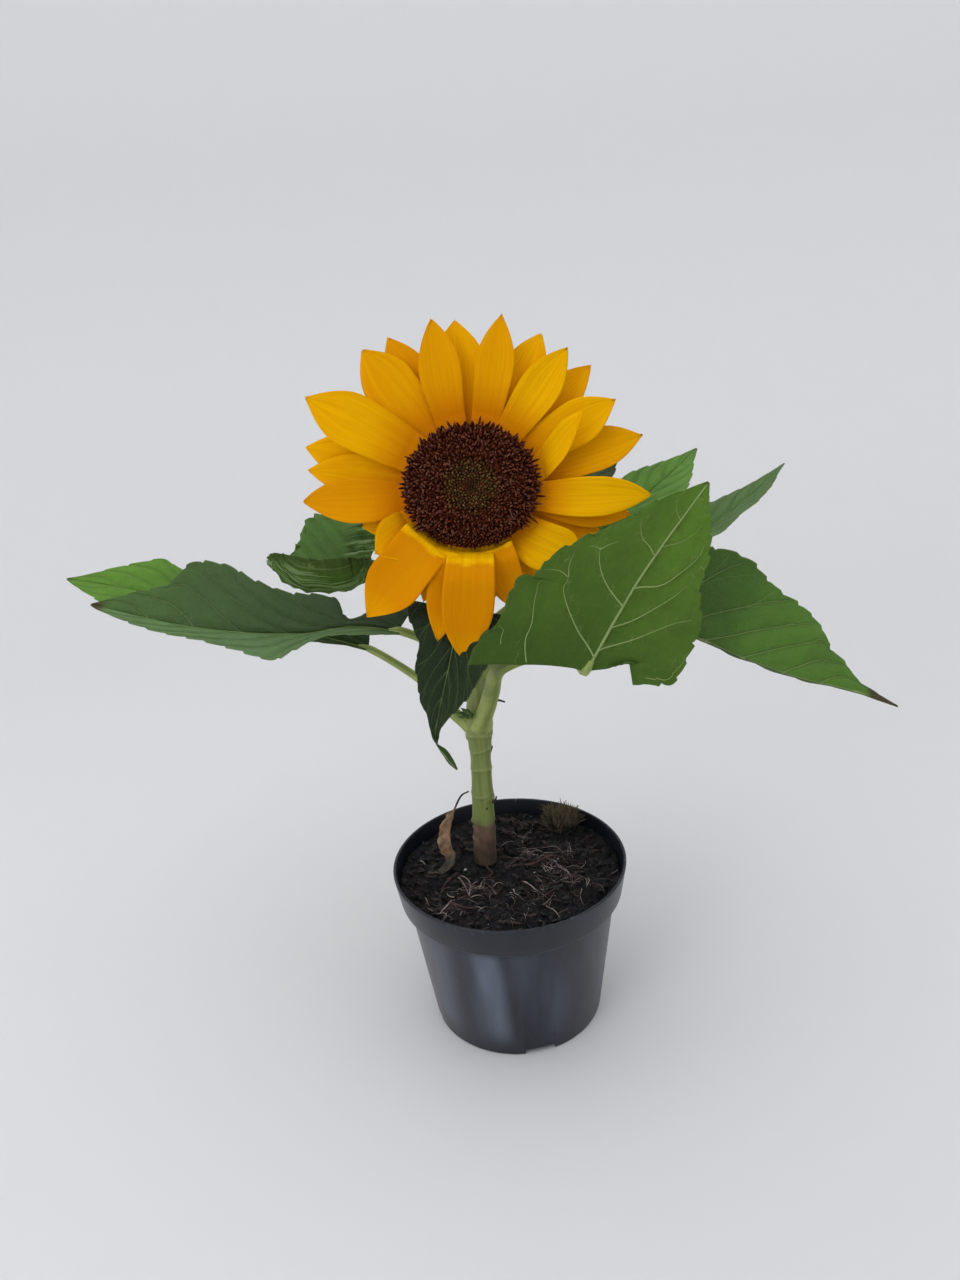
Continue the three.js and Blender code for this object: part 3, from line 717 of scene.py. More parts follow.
moss_centre = (30, 37)
moss_radius = 9
moss_height = 15.5
moss_count = 620
moss_radii = np.array([0.4, 0.55, 0.5, 0.36, 0.06])
moss_dice = random.Random(5)
moss_shoots = []
for _ in range(moss_count):
    angle = moss_dice.uniform(0, 2 * math.pi)
    away = math.sqrt(moss_dice.random())
    x = moss_centre[0] + moss_radius * away * math.cos(angle)
    y = moss_centre[1] + 0.66 * moss_radius * away * math.sin(angle)
    foot = np.array([x, y, ground(x, y)])
    rise = moss_height * (1.0 - 0.4 * away**4) * moss_dice.uniform(0.3, 1.05)
    lean = np.array([math.cos(angle), 0.4 * math.sin(angle), 0]) * away * moss_dice.uniform(-2, 5)
    stray = np.array([moss_dice.gauss(0, 1), moss_dice.gauss(0, 0.5), 0])
    tip = foot + [0, 0, rise] + lean + stray * 1.8
    middle = foot + [0, 0, rise * 0.6] + lean * 0.3
    slim = moss_dice.uniform(0.5, 1)
    moss_line = smooth_path([foot, middle, tip], len(moss_radii))
    moss_shoots.append(tube(moss_line, slim * moss_radii, 4))

moss_finish = Finish("dry moss")
moss_tint = moss_finish.grain(260, 3)
moss_up = moss_finish.parts(moss_finish.place())[2].step(0.084, 0.094)
moss_colour = moss_finish.blend(moss_tint.step(0.35, 0.65), srgb(36, 32, 26), srgb(94, 86, 66))
moss_colour = moss_finish.blend(moss_up * 0.7, moss_colour, srgb(122, 106, 80))
moss_finish.paint(Base_Color=moss_colour, Roughness=0.9)
moss_piece = new_piece("moss_shoots", *gathered(moss_shoots), moss_finish)
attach(moss_piece, "root")
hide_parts("moss_tuft")

# The dried leaf: an old lower leaf that died off. Its petiole is a dark thread that arches from
# the stem, and its blade hangs folded and brown, with a grey shrivelled end on the soil.

dried_stops = [(-18, 4, 125), (-21.5, 1.5, 124.5), (-25.5, 0, 118), (-29.5, 0, 108)]
dried_stops += [(-30, 0, 98), (-28.5, 0, 90)]
dried_stops += [(x, y, soil_top(x, y) + 1.2) for x, y in [(-34, -1.5), (-42, -3.5)]]
dried_width = 4.4


def normals_of(points):
    """The direction that each point of a grid faces"""
    down = np.gradient(points, axis=0)
    sideways = np.gradient(points, axis=1)
    return unit(np.cross(sideways, down))


def closed_faces(rows, columns):
    """The faces of a thin closed sheet: its upper grid, its lower grid and its rim"""
    upper = grid_faces(rows, columns)
    lower = upper[:, ::-1] + rows * columns
    edge = [*range(columns - 1)]
    edge += [row * columns + columns - 1 for row in range(rows - 1)]
    edge += [(rows - 1) * columns + column for column in range(columns - 1, 0, -1)]
    edge += [row * columns for row in range(rows - 1, 0, -1)]
    rim = [
        (start + rows * columns, end + rows * columns, end, start)
        for start, end in zip(edge, edge[1:] + edge[:1])
    ]
    return np.concatenate([upper, lower, rim])


def thin_sheet(points, thickness):
    """A grid of points given a thickness, as (points, faces)"""
    half = normals_of(points) * np.asarray(thickness)[..., None] / 2
    both = np.concatenate([(points + half).reshape(-1, 3), (points - half).reshape(-1, 3)])
    return both, closed_faces(*points.shape[:2])


dried_rows = 110
dried_columns = 21
dried_open = 0.2
dried_line = smooth_path(dried_stops, dried_rows)
dried_along = unit(np.gradient(dried_line, axis=0))
u = np.linspace(0, 1, dried_rows)[:, None]
v = np.linspace(-1, 1, dried_columns)[None, :]
blade_part = ease((u - dried_open) / 0.06)
bloat = np.sin(np.pi * np.clip((u - dried_open) / (1.02 - dried_open), 0, 1)) ** 0.8
dried_half = 0.33 + blade_part * dried_width * bloat * (1 - 0.35 * ease((u - 0.62) / 0.15))
facing = np.cross(np.cross([0.8, -0.6, 0], dried_along), dried_along)
dried_side = unit(facing)[:, None, :]
dried_lift = np.cross(dried_side, dried_along[:, None, :])
crinkle = 0.5 * np.sin(u * 43 + v * 3) + 0.4 * np.sin(u * 71 - v * 5) + 0.3 * np.sin(v * 9 + u * 20)
dried_fold = 0.8 * dried_half * v * v + blade_part * crinkle * (0.25 + 0.4 * v * v)
ragged = 1 + 0.1 * np.sin(u * 53) * np.abs(v) + 0.07 * np.sin(u * 111 + 1) * np.abs(v)
dried_points = (
    dried_line[:, None, :]
    + dried_side * (dried_half * v * ragged * 0.85)[..., None]
    + dried_lift * dried_fold[..., None]
)
dried_finish = Finish("withered leaf")
dried_height = dried_finish.parts(dried_finish.place())[2]
dried_tint = dried_finish.grain(190, 4)
dried_half_share = dried_finish.mesh_value("half")
dried_colour = dried_finish.layered(
    dried_finish.blend(dried_tint.step(0.3, 0.7), srgb(134, 106, 84), srgb(186, 154, 124)),
    (dried_half_share * 0.6, srgb(92, 68, 52)),
    (dried_height.step(0.093, 0.087), srgb(84, 78, 70)),
    (dried_height.step(0.1165, 0.121), srgb(42, 37, 36)),
)
dried_finish.paint(
    Base_Color=dried_colour,
    Roughness=0.8,
    Specular_IOR_Level=0.3,
    Normal=dried_finish.relief(dried_finish.grain(900, 4), 0.0004),
)
dried_thickness = np.broadcast_to(between(0.66, 0.4, blade_part), (dried_rows, dried_columns))
dried_values = {"half": np.tile(ease(0.5 - 0.5 * v + 0 * u).ravel(), 2)}
dried_shape = thin_sheet(dried_points, dried_thickness)
dried_piece = new_piece("withered_leaf", *dried_shape, dried_finish, dried_values)
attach(dried_piece, "root")
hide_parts("dried_leaf")

# The stem: one fleshy upright shoot, brown and woody at its foot and pale green above, with a
# swelling and a scar at each old leaf, and fine stiff hairs. It runs up to the flower's back.

stem_stops = [(-12.3, 7.9, 81.2), (-11.8, 8, 100), (-10.6, 8, 140), (-10, 8, 172), (-10, 12, 205)]
stem_stops += [(-8, 19, 245)]
stem_radii = dict(foot=5.9, neck=4.3, node=0.25, fork=2.2)
stem_nodes = [107, 122, 136.5, 147.5, 156, 192, 206]
fork_height = 161
fork_spread = 12

flower_centre = np.array([-4.9, -14, 283.4])
flower_tilt = math.radians(15)
face_right = np.array([1.0, 0, 0])
face_up = np.array([0, math.sin(flower_tilt), math.cos(flower_tilt)])
face_out = np.array([0, -math.cos(flower_tilt), math.sin(flower_tilt)])
receptacle_back = -18


def on_flower(x, y, z):
    """A place on the flower: right, up its face, and out of its face"""
    x, y, z = [np.asarray(number, float)[..., None] for number in (x, y, z)]
    return flower_centre + x * face_right + y * face_up + z * face_out


stem_stops += [on_flower(0, -2, receptacle_back - 9), on_flower(0, 0, receptacle_back - 3)]
stem_stops += [on_flower(0, 0, receptacle_back + 1)]
stem_rows = 260
stem_sides = 48
stem_line = smooth_path(stem_stops, stem_rows)
stem_share = np.linspace(0, 1, stem_rows)


def stem_radius(share, height):
    """The stem's radius, which swells at the old leaves and at the fork"""
    radius = between(stem_radii["foot"], stem_radii["neck"], ease(share * 2))
    for node in stem_nodes:
        radius = radius + stem_radii["node"] * np.exp(-(((height - node) / 3) ** 2))
    return radius + stem_radii["fork"] * np.exp(-(((height - fork_height) / fork_spread) ** 2))


stem_points, stem_faces = tube(stem_line, stem_radius(stem_share, stem_line[:, 2]), stem_sides)
stem_height = stem_points[:, 2]
outward = stem_points - np.repeat(stem_line, stem_sides, 0)
stem_angle = np.arctan2(outward[:, 1], outward[:, 0])
ribbing = 0.08 * np.cos(7 * stem_angle + stem_height * 0.02) + 0.04 * np.cos(13 * stem_angle + 1)
woody_lumps = 0.35 * np.sin(stem_height * 0.55 + 2 * stem_angle) * np.sin(stem_height * 0.23 + stem_angle)
ribbing = ribbing + woody_lumps * ease((108 - stem_height) / 4)

# Scars: their height, the way they face in degrees, the size of the lump, its spread in height
scars = [(120.5, -35, 1.0, 1.3), (123, 120, 0.7, 1.3), (136.5, -60, 0.55, 0.7), (136.5, 120, 0.5, 0.8)]
scars += [(106.7, -90, 0.3, 0.6), (106.7, 180, 0.7, 0.8), (106.7, 0, 0.3, 0.6), (147.5, -15, 0.6, 1.4)]
scars += [(155, 185, 0.7, 1.6), (166, -120, 0.6, 2.5), (97, -150, 0.5, 1.0)]
scar_lumps = np.zeros(len(stem_points))
for height, facing_degrees, lump, tall in scars:
    turn = stem_angle - math.radians(facing_degrees)
    turn = np.arctan2(np.sin(turn), np.cos(turn))
    crescent = height - 1.1 * np.cos(turn * 1.6)
    scar_lumps += lump * np.exp(-((turn / 0.7) ** 2) - ((stem_height - crescent) / tall) ** 2)

# A pale ring round each old leaf's place, with a crease under it that is painted dark as shade
rings = np.zeros(len(stem_points))
for height in (122, 136.5, 147.5, 156):
    level = stem_height - height - 0.7 * np.sin(stem_angle * 2 + height)
    rings += np.exp(-((level / 0.7) ** 2)) - np.exp(-(((level + 1.2) / 0.5) ** 2))
stem_points = stem_points + unit(outward) * (ribbing + scar_lumps + 0.16 * rings)[:, None]

stem_finish = Finish("fleshy green stem")
stem_up = stem_finish.parts(stem_finish.place())[2]
fine_streak = stem_finish.grain(500, 4, stretch=(1, 1, 0.06))
blotch = stem_finish.grain(95, 3)
woody = (stem_up + blotch * 0.008 + fine_streak * 0.004).step(0.1155, 0.109)
ring_and_crease_shade = stem_finish.mesh_value("ring")
scarred = stem_finish.mesh_value("scar")
bark = stem_finish.layered(
    stem_finish.blend(blotch.step(0.35, 0.65), srgb(94, 70, 60), srgb(124, 98, 82)),
    (fine_streak.step(0.58, 0.7) * 0.5, srgb(142, 120, 96)),
    (fine_streak.step(0.42, 0.3) * 0.6, srgb(52, 36, 32)),
    (stem_up.step(0.098, 0.084) * 0.7, srgb(46, 36, 34)),
)
skin = stem_finish.layered(
    stem_finish.blend(fine_streak.step(0.25, 0.75), srgb(100, 116, 52), srgb(130, 144, 74)),
    (blotch.step(0.5, 0.75) * 0.35, srgb(92, 106, 56)),
    (stem_up.step(0.13, 0.185) * 0.45, srgb(142, 152, 92)),
    (ring_and_crease_shade.step(0.1, 0.9) * 0.22, srgb(168, 176, 118)),
    # Painted shade in the crease under each ring
    (ring_and_crease_shade.step(-0.1, -0.9) * 0.4, srgb(74, 84, 36)),
    (woody * 0.94, bark),
    (scarred.step(0.4, 0.9) * (1 - woody) * 0.3, srgb(96, 98, 50)),
)
stem_finish.paint(
    Base_Color=skin,
    Roughness=fine_streak * 0.15 + 0.45,
    Normal=stem_finish.relief(fine_streak + stem_finish.grain(1800, 2) * 0.4, 0.0002),
)
stem_values = {"scar": scar_lumps, "ring": rings}
stem_piece = new_piece("stem_shoot", stem_points, stem_faces, stem_finish, stem_values)
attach(stem_piece, "root")
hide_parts("stem")

hair_dice = random.Random(3)
hair_radius = 0.06
hair_corners = (0, 2.09, 4.19)
stem_hairs = 1000
petiole_hairs = 80


def hair(root, heading, length):
    """One stiff hair: a slim three-sided spike"""
    side = unit(np.cross(heading, [0.2, 0.3, 0.93]))
    other = np.cross(heading, side)
    ring = [root + hair_radius * (math.cos(a) * side + math.sin(a) * other) for a in hair_corners]
    bend_point = root + heading * length + np.array([0, 0, -0.15 * length])
    return np.array([*ring, bend_point]), [(0, 1, 3), (1, 2, 3), (2, 0, 3), (2, 1, 0)]


def hairs_along(line, radii, count, length, first=0.0):
    """Stiff hairs that stand off a limb all round"""
    made = []
    along = unit(np.gradient(line, axis=0))
    for _ in range(count):
        i = int(between(first, 0.97, hair_dice.random()) * (len(line) - 1))
        angle = hair_dice.uniform(0, 2 * math.pi)
        side = unit(np.cross(along[i], [0.9, 0.1, 0.2]))
        out = math.cos(angle) * side + math.sin(angle) * np.cross(along[i], side)
        root = line[i] + out * (radii[i] - 0.4)
        made.append(hair(root, unit(out + 0.25 * along[i]), 0.3 + length * hair_dice.uniform(0.5, 1.2)))
    return made


hair_finish = Finish("plant hairs")
hair_finish.paint(Base_Color=srgb(190, 198, 150), Roughness=0.6)
hairs = hairs_along(stem_line, stem_radius(stem_share, stem_line[:, 2]), stem_hairs, 0.6, 0.08)

# The dark remains of fallen leaves: stubs and a withered curl, each at a scar
stub_finish = Finish("dry leaf stubs")
stub_tint = stub_finish.grain(700, 3)
stub_finish.paint(Base_Color=stub_finish.blend(stub_tint, srgb(30, 26, 26), srgb(74, 60, 50)), Roughness=0.8)
stub_paths = [
    ([(-6.6, 5.6, 117), (-4.9, 5.0, 118.6), (-4.1, 4.8, 120.6)], 0.85),
    ([(-9.6, 3.4, 115.4), (-9.4, 2.2, 115.1), (-9.4, 1.8, 115.1)], 0.7),
    ([(-4.6, 6, 169.6), (-2.4, 5.4, 172.6), (0.2, 5, 173.8), (3.4, 5, 172.6)], 0.95),
    ([(-17.2, 6.4, 104.8), (-18.8, 5.6, 106), (-19.6, 5, 107.6)], 1.0),
    ([(-5.6, 6, 146.6), (-4.6, 5.6, 147.6), (-4.3, 5.4, 149)], 0.5),
    ([(-15.6, 3, 169), (-17.3, 2.4, 170.4), (-17.6, 2.2, 172)], 0.35),
    ([(-14.6, 3, 166), (-16, 2, 167), (-16.4, 1.8, 168.6)], 0.35),
]
stubs = [tube(smooth_path(path, 9), thick * np.linspace(1, 0.45, 9), 7) for path, thick in stub_paths]
stub_piece = new_piece("leaf_stubs", *gathered(stubs), stub_finish)
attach(stub_piece, "root")

# Young leaflets: a few tiny dark green leaves, still folded, that sprout where a petiole leaves
# the stem. They are soft and grow out of the stem's skin.
axil_spot = (-13.2, 0.5, 167.6)
axil_tips = [
    (-20.5, -1, 171.6), (-18.2, -2.5, 174.6), (-15.4, -3, 174), (-19.6, -1, 168.8), (-13.4, -4, 172),
]
leaflet_finish = speckled("young leaflets", 600, 3, (34, 56, 20), (84, 112, 52), 0.75, 0.35, 0.65)
leaflet_radii = np.array([0.5, 0.7, 0.9, 1, 1, 0.85, 0.65, 0.4, 0.1])
leaflets = []
for tip in axil_tips:
    middle = between(np.array(axil_spot), np.array(tip), 0.55) + [0, 0, 0.8]
    leaflet_line = smooth_path([axil_spot, middle, tip], len(leaflet_radii))
    leaflets.append(tube(leaflet_line, leaflet_radii, 7))
leaflet_piece = new_piece("axil_leaflets", *gathered(leaflets), leaflet_finish)
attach(leaflet_piece, "root")

# The leaves: thin heart-shaped blades, each a flat pattern on either side of a midrib that bends,
# folded a little along it. Side veins run forward to a toothed margin, the blade bulges between
# them, and the veins show pale.

plain_margin = [(-0.06, 0.45), (0.02, 0.74), (0.14, 0.92), (0.28, 1), (0.45, 0.95), (0.6, 0.76)]
plain_margin += [(0.75, 0.48), (0.88, 0.22), (1, 0.02)]


def plain(wide, fold, curl=0):
    """A plain half of a blade, wide millimetres across"""
    return dict(margin=[(along, across * wide) for along, across in plain_margin], fold=fold, curl=curl)


# Side veins: where each leaves the midrib, where it meets the margin, and how it bows between
even_veins = [(-0.16, 0.06, 1), (-0.05, 0.24, 1), (0.02, 0.46, 0.8), (0.18, 0.6, 0.85)]
even_veins += [(0.34, 0.71, 0.9), (0.5, 0.8, 0.95), (0.65, 0.88, 1), (0.79, 0.95, 1), (0.92, 1, 1)]

# Each leaf has the places that its midrib runs through, its roll about the midrib in degrees at
# foot and tip, and its two halves. A half has its margin, as shares of the length along and
# millimetres across, the fold of the half at foot and tip, and a further curl across it. Then
# comes the petiole: its height on the stem, the places it passes, its radius at either end.
# The looks follow, left and right: tone from dark to light green, bloom, and how the veins show.
# Tone holds painted light and shade besides each leaf's own green: leaves in shade are painted dark,
# backlit ones light, and the lit near half of a folded leaf lighter than its shaded far half. A tip
# tone paints light shining through towards the tip, and a dark foot paints shade there. The bloom is
# partly the leaf's own grey-green bloom and partly painted sheen.
leaves = [
    dict(
        name="left_long",
        midrib=[(-44, 2, 214.5), (-66, -2, 219.5), (-89, -5, 219), (-133, -10, 227), (-178, -14, 243)],
        roll=(14, 14),
        left=dict(fold=(0, 0), curl=-8, margin=[
            (0, 3), (0.16, 6), (0.25, 5), (0.31, 8), (0.37, 15), (0.41, 19), (0.46, 17), (0.53, 12.5),
            (0.64, 9.5), (0.77, 8), (0.87, 6), (0.98, 2), (1, 0.5),
        ]),
        right=dict(fold=(66, 25), curl=10, margin=[
            (-0.04, 11), (0.03, 12), (0.11, 7), (0.17, 4), (0.2, 14), (0.27, 18), (0.35, 19),
            (0.43, 22), (0.51, 26), (0.59, 31), (0.66, 32), (0.73, 30), (0.79, 18), (0.88, 11),
            (0.96, 4), (1, 0.5),
        ]),
        height=192, by=[(-32, 4, 208)], radius=(3, 2.1),
        tone=(0.42, 0), tip_tone=0.4, bloom=(0.55, 0.2), vein=(0.35, 0.35), teeth=17, tooth=1.5, dead=0.95,
    ),
    dict(
        name="left_behind",
        midrib=[(-62, 20, 200), (-96, 28, 209), (-146, 38, 223), (-187, 45, 233), (-215, 50, 238)],
        roll=(8, 14),
        left=dict(fold=(5, 5), margin=[
            (0, 2), (0.06, 2.5), (0.17, 9), (0.33, 18), (0.54, 24), (0.75, 20), (0.86, 14), (0.95, 6),
            (1, 0.5),
        ]),
        right=dict(fold=(5, 20), margin=[
            (0.02, 11), (0.11, 15), (0.24, 20), (0.51, 20), (0.68, 20), (0.73, 23), (0.77, 21),
            (0.85, 14), (0.95, 4), (1, 0.5),
        ]),
        height=157, by=[(-21, 9, 165.5), (-36, 12.5, 183)], radius=(3.4, 1.9),
        tone=(0.85, 0.85), bloom=(0, 0), vein=(0.2, 0.2), teeth=14, tooth=1.2, dark_foot=0.75,
    ),
    dict(
        name="left_crumpled",
        midrib=[(-59, 43, 238), (-83, 38, 238), (-108, 37, 244)],
        roll=(0, -10),
        left=dict(fold=(-80, -82), curl=202, margin=[
            (0, 26), (0.1, 36), (0.22, 41), (0.38, 43), (0.58, 43), (0.74, 42), (0.86, 36), (0.95, 22),
            (1, 6),
        ]),
        right=dict(fold=(62, 35), curl=5, margin=[
            (-0.1, 8), (-0.08, 20), (0.1, 28), (0.4, 31), (0.62, 31), (0.72, 27), (0.755, 18),
            (0.77, 9), (0.84, 3), (1, 0.5),
        ]),
        height=214, by=[(-37, 34, 228)], radius=(2.4, 0.9),
        tone=(0.66, 0.5), bloom=(0.2, 0.12), vein=(0, 0.1), teeth=13, tooth=3.4, pleat=1,
    ),
    dict(
        name="front_hanging",
        midrib=[
            (-15, -26, 233), (-18, -34, 218), (-25, -44, 195), (-28, -48, 181), (-24, -49, 173),
            (-20, -50, 167),
        ],
        roll=(0, -10),
        left=dict(fold=(5, 10), margin=[
            (0.03, 22), (0.22, 21), (0.39, 21), (0.48, 17), (0.56, 12), (0.68, 5), (0.78, 1.2),
            (0.88, 1.4), (0.95, 2.4), (1, 0.5),
        ]),
        right=dict(fold=(5, 10), margin=[
            (-0.04, 25), (0.07, 21), (0.22, 17), (0.37, 17), (0.48, 14), (0.62, 9), (0.69, 5),
            (0.77, 1.2), (0.86, 2.4), (0.94, 2.2), (1, 0.5),
        ]),
        height=206, by=[(-12, -12, 226)], radius=(2.2, 1.5),
        tone=(0.03, 0.02), bloom=(0, 0), vein=(0.3, 0.3), rib=0.5, teeth=10, tooth=1.1, twist=70,
    ),
    dict(
        name="front_right",
        midrib=[(36, -66, 216), (59, -63, 253), (86, -60, 288)],
        roll=(-80, -80),
        left=dict(
            margin=[
                (-0.2, 45), (-0.06, 46), (0.05, 42), (0.16, 43), (0.26, 43), (0.3, 38), (0.39, 36),
                (0.49, 30), (0.56, 25), (0.61, 21), (0.71, 16), (0.82, 12), (0.93, 5), (1, 0.5),
            ],
            fold=(10, 0),
            veins=[
                (-0.51, 0.5, 1.3), (0.09, 0.55, 1), (0.345, 0.68, 1.2), (0.61, 0.79, 1.25),
                (0.8, 0.92, 1),
            ],
        ),
        right=dict(
            margin=[
                (0.05, 19), (0.1, 27), (0.13, 32), (0.19, 33), (0.31, 32.5), (0.44, 31), (0.52, 27),
                (0.6, 22), (0.71, 19), (0.83, 13), (0.93, 5), (1, 0.5),
            ],
            base=[0, 0.05, 0.14, 0.05], fold=(10, 0),
            veins=[
                (-0.35, 0.36, 1.6), (0.12, 0.52, 1.1), (0.21, 0.69, 0.9), (0.43, 0.82, 1.4),
                (0.66, 0.95, 1), (0.85, 1, 1),
            ],
        ),
        height=158, by=[(-7.4, 2, 167), (-5, -3, 175), (-2.6, -10, 185), (2.4, -24.5, 203), (33, -50, 219)],
        radius=(4.4, 2.9),
        tone=(0.28, 0.34), tip_tone=0.5, bloom=(0.14, 0.08), vein=(0, 0), rib=0.72, teeth=13, tooth=1.6,
        turned=True,
        # Half the thickness of each cord and the places it runs through: along, and across, where
        # the left half is below zero
        cords=[
            (0.42, [(0.345, 0), (0.415, -0.27), (0.5, -0.52), (0.56, -0.68)]),
            (0.22, [(0.55, -0.65), (0.58, -0.63), (0.605, -0.58)]),
            (0.22, [(0.55, -0.65), (0.555, -0.72), (0.55, -0.79)]),
            (0.46, [(0.08, 0), (0.13, -0.12), (0.195, -0.29), (0.3, -0.5), (0.415, -0.69)]),
            (0.24, [(0.41, -0.68), (0.425, -0.8), (0.42, -0.96)]),
            (0.24, [(0.41, -0.68), (0.45, -0.75), (0.5, -0.82)]),
            (0.34, [(0.012, -0.53), (0.11, -0.63), (0.21, -0.72), (0.3, -0.77), (0.37, -0.82)]),
            (0.26, [(0.61, 0), (0.64, -0.18), (0.66, -0.36), (0.74, -0.76)]),
            (0.16, [(0.8, 0), (0.83, -0.3), (0.87, -0.6)]),
            (0.18, [(0.08, -0.8), (0.14, -0.87), (0.17, -0.97)]),
            (0.36, [(0.44, 0), (0.46, 0.08), (0.515, 0.34), (0.66, 0.69), (0.75, 0.85)]),
            (0.32, [(0.235, 0), (0.3, 0.18), (0.42, 0.4), (0.48, 0.53), (0.57, 0.75)]),
            (0.32, [(0.115, 0), (0.15, 0.1), (0.215, 0.28), (0.385, 0.69), (0.43, 0.86)]),
            (0.18, [(0.66, 0), (0.72, 0.3), (0.82, 0.65)]),
            (0.2, [(0.06, 0.9), (0.15, 0.92), (0.3, 0.98)]),
        ],
    ),
    dict(
        name="right_low",
        midrib=[
            (69, -38, 225), (87, -42, 217.5), (103, -44, 209), (129, -47, 198), (150, -47, 191),
            (172, -47, 181),
        ],
        roll=(-32, -25),
        left=dict(fold=(36, 15), curl=5, margin=[
            (0, 26), (0.09, 37), (0.22, 40), (0.31, 38), (0.42, 34), (0.55, 30), (0.67, 25),
            (0.71, 17), (0.77, 12), (0.82, 6), (0.9, 3), (1, 0.5),
        ]),
        right=dict(
            margin=[(0, 14), (0.12, 24), (0.28, 27), (0.45, 25), (0.6, 19), (0.75, 12), (0.88, 5), (1, 0.5)],
            fold=(-140, -135), curl=-10,
        ),
        height=186, by=[(26, -14, 219)], radius=(3, 1.7),
        tone=(0.46, 0.24), tip_tone=0.24, bloom=(0.05, 0.04), vein=(0.8, 0.6), teeth=14, tooth=1.6,
        dead=0.86, dark_foot=0.2,
    ),
    dict(
        name="right_high",
        midrib=[(72, 13, 238), (100, 19, 246), (126, 31, 258), (148, 46, 271)],
        roll=(-5, 12), left=plain(21, (25, 0)), right=plain(21, (20, 12)),
        height=204, by=[(30, 10, 232)], radius=(2.6, 1.5),
        tone=(0.5, 0.5), bloom=(0.3, 0.3), vein=(0.25, 0.25), teeth=13, tooth=1.2,
    ),
    dict(
        name="right_back",
        midrib=[(43, 22, 240), (65, 32, 254), (88, 44, 267), (108, 59, 279)],
        roll=(-5, -5), left=plain(24, (15, 13)), right=plain(28, (10, 8), -4),
        height=216, by=[(18, 20, 236)], radius=(2.4, 1.3),
        tone=(0.86, 0.92), bloom=(0.08, 0.08), vein=(0.2, 0.2), teeth=12, tooth=1.3,
    ),
    dict(
        name="behind_petals",
        midrib=[(39, 13, 258), (46, 18, 274), (58, 21, 287), (75, 23, 294)],
        roll=(0, -15), left=plain(18, (15, 15)), right=plain(24, (15, 0)),
        height=236, by=[(26, 15, 242)], radius=(2, 1.2),
        tone=(0.16, 0.16), bloom=(0.15, 0.15), vein=(0.3, 0.3), teeth=9, tooth=1.2,
    ),
    dict(
        name="back_left",
        midrib=[(-18, 48, 222), (-32, 81, 232), (-47, 116, 237), (-62, 150, 236)],
        roll=(-5, 5), left=plain(32, (12, 8)), right=plain(32, (12, 8)),
        height=196, by=[(-12, 30, 216)], radius=(2.8, 1.6),
        tone=(0.42, 0.46), bloom=(0.08, 0.04), vein=(0.6, 0.6), teeth=14, tooth=1.6,
    ),
    dict(
        name="back_right",
        midrib=[(28, 44, 212), (46, 77, 215), (65, 109, 209), (82, 140, 196)],
        roll=(5, -5), left=plain(34, (12, 8)), right=plain(34, (12, 8)),
        height=178, by=[(8, 28, 203)], radius=(3, 1.5),
        tone=(0.42, 0.36), bloom=(0.04, 0.08), vein=(0.6, 0.6), teeth=14, tooth=1.6,
    ),
]

straight_up = np.array([0, 0, 1.0])
vein_bend = 1.25
margin_wave = 0.9
midrib_half = 0.8
midrib_height = 0.9
withered_from = 0.975
map_apart = 200
base_fade = 6
curl_slices = 4
line_steps = 400


def sampled(line, share):
    """Points of an even line at shares of its length"""
    knots = np.linspace(0, 1, len(line))
    return np.stack([np.interp(share, knots, line[:, i]) for i in range(3)], -1)


def laid_out(leaf):
    """A leaf's midrib as a fine line, its length, and the margins of its flat pattern"""
    line = smooth_path(leaf["midrib"], line_steps)
    length = np.linalg.norm(np.diff(line, axis=0), axis=1).sum()
    margins = {}
    for key in ("left", "right"):
        stops = [(along * length, across, 0) for along, across in leaf[key]["margin"]]
        margins[key] = smooth_path(stops, line_steps)
    return dict(line=line, headings=unit(np.gradient(line, axis=0)), length=length, margins=margins)


def leaf_half(leaf, layout, key, u, v, bite):
    """One half of a blade at u along it and v across it, its margin moved out by bite"""
    half = leaf[key]
    length = layout["length"]
    line = layout["margins"][key]
    margin = sampled(line, u)
    edge_way = sampled(unit(np.gradient(line, axis=0)), u)
    part = np.abs(v)
    x = between(u * length, margin[..., 0], part**vein_bend)
    if "base" in half:
        lower = np.interp(part, np.linspace(0, 1, len(half["base"])), half["base"]) * length
        x = x + (lower - line[0, 0] * part**vein_bend) * (1 - u) ** base_fade
    push = bite * part**6
    x = x - edge_way[..., 1] * push
    y = margin[..., 1] + edge_way[..., 0] * push
    share = np.clip(x / length, 0, 1)
    along = unit(sampled(layout["headings"], share))
    side = unit(np.cross(along, straight_up))
    rise = np.cross(side, along)
    twist = leaf.get("twist", 0) * ease((share - 0.74) / 0.12)
    roll = np.radians(between(*leaf["roll"], share) + twist)[..., None]
    outward = side * np.cos(roll) + rise * np.sin(roll)
    upward = rise * np.cos(roll) - side * np.sin(roll)
    fold = np.radians(between(*half["fold"], share))
    out = 0
    lift = 0
    for i in range(curl_slices):
        angle = fold + math.radians(half.get("curl", 0)) * part * (i + 0.5) / curl_slices
        out = out + np.cos(angle) * part / curl_slices
        lift = lift + np.sin(angle) * part / curl_slices
    return (
        sampled(layout["line"], share)
        + along * (x - share * length)[..., None]
        + outward * (np.sign(v) * out * y)[..., None]
        + upward * (lift * y)[..., None]
    )


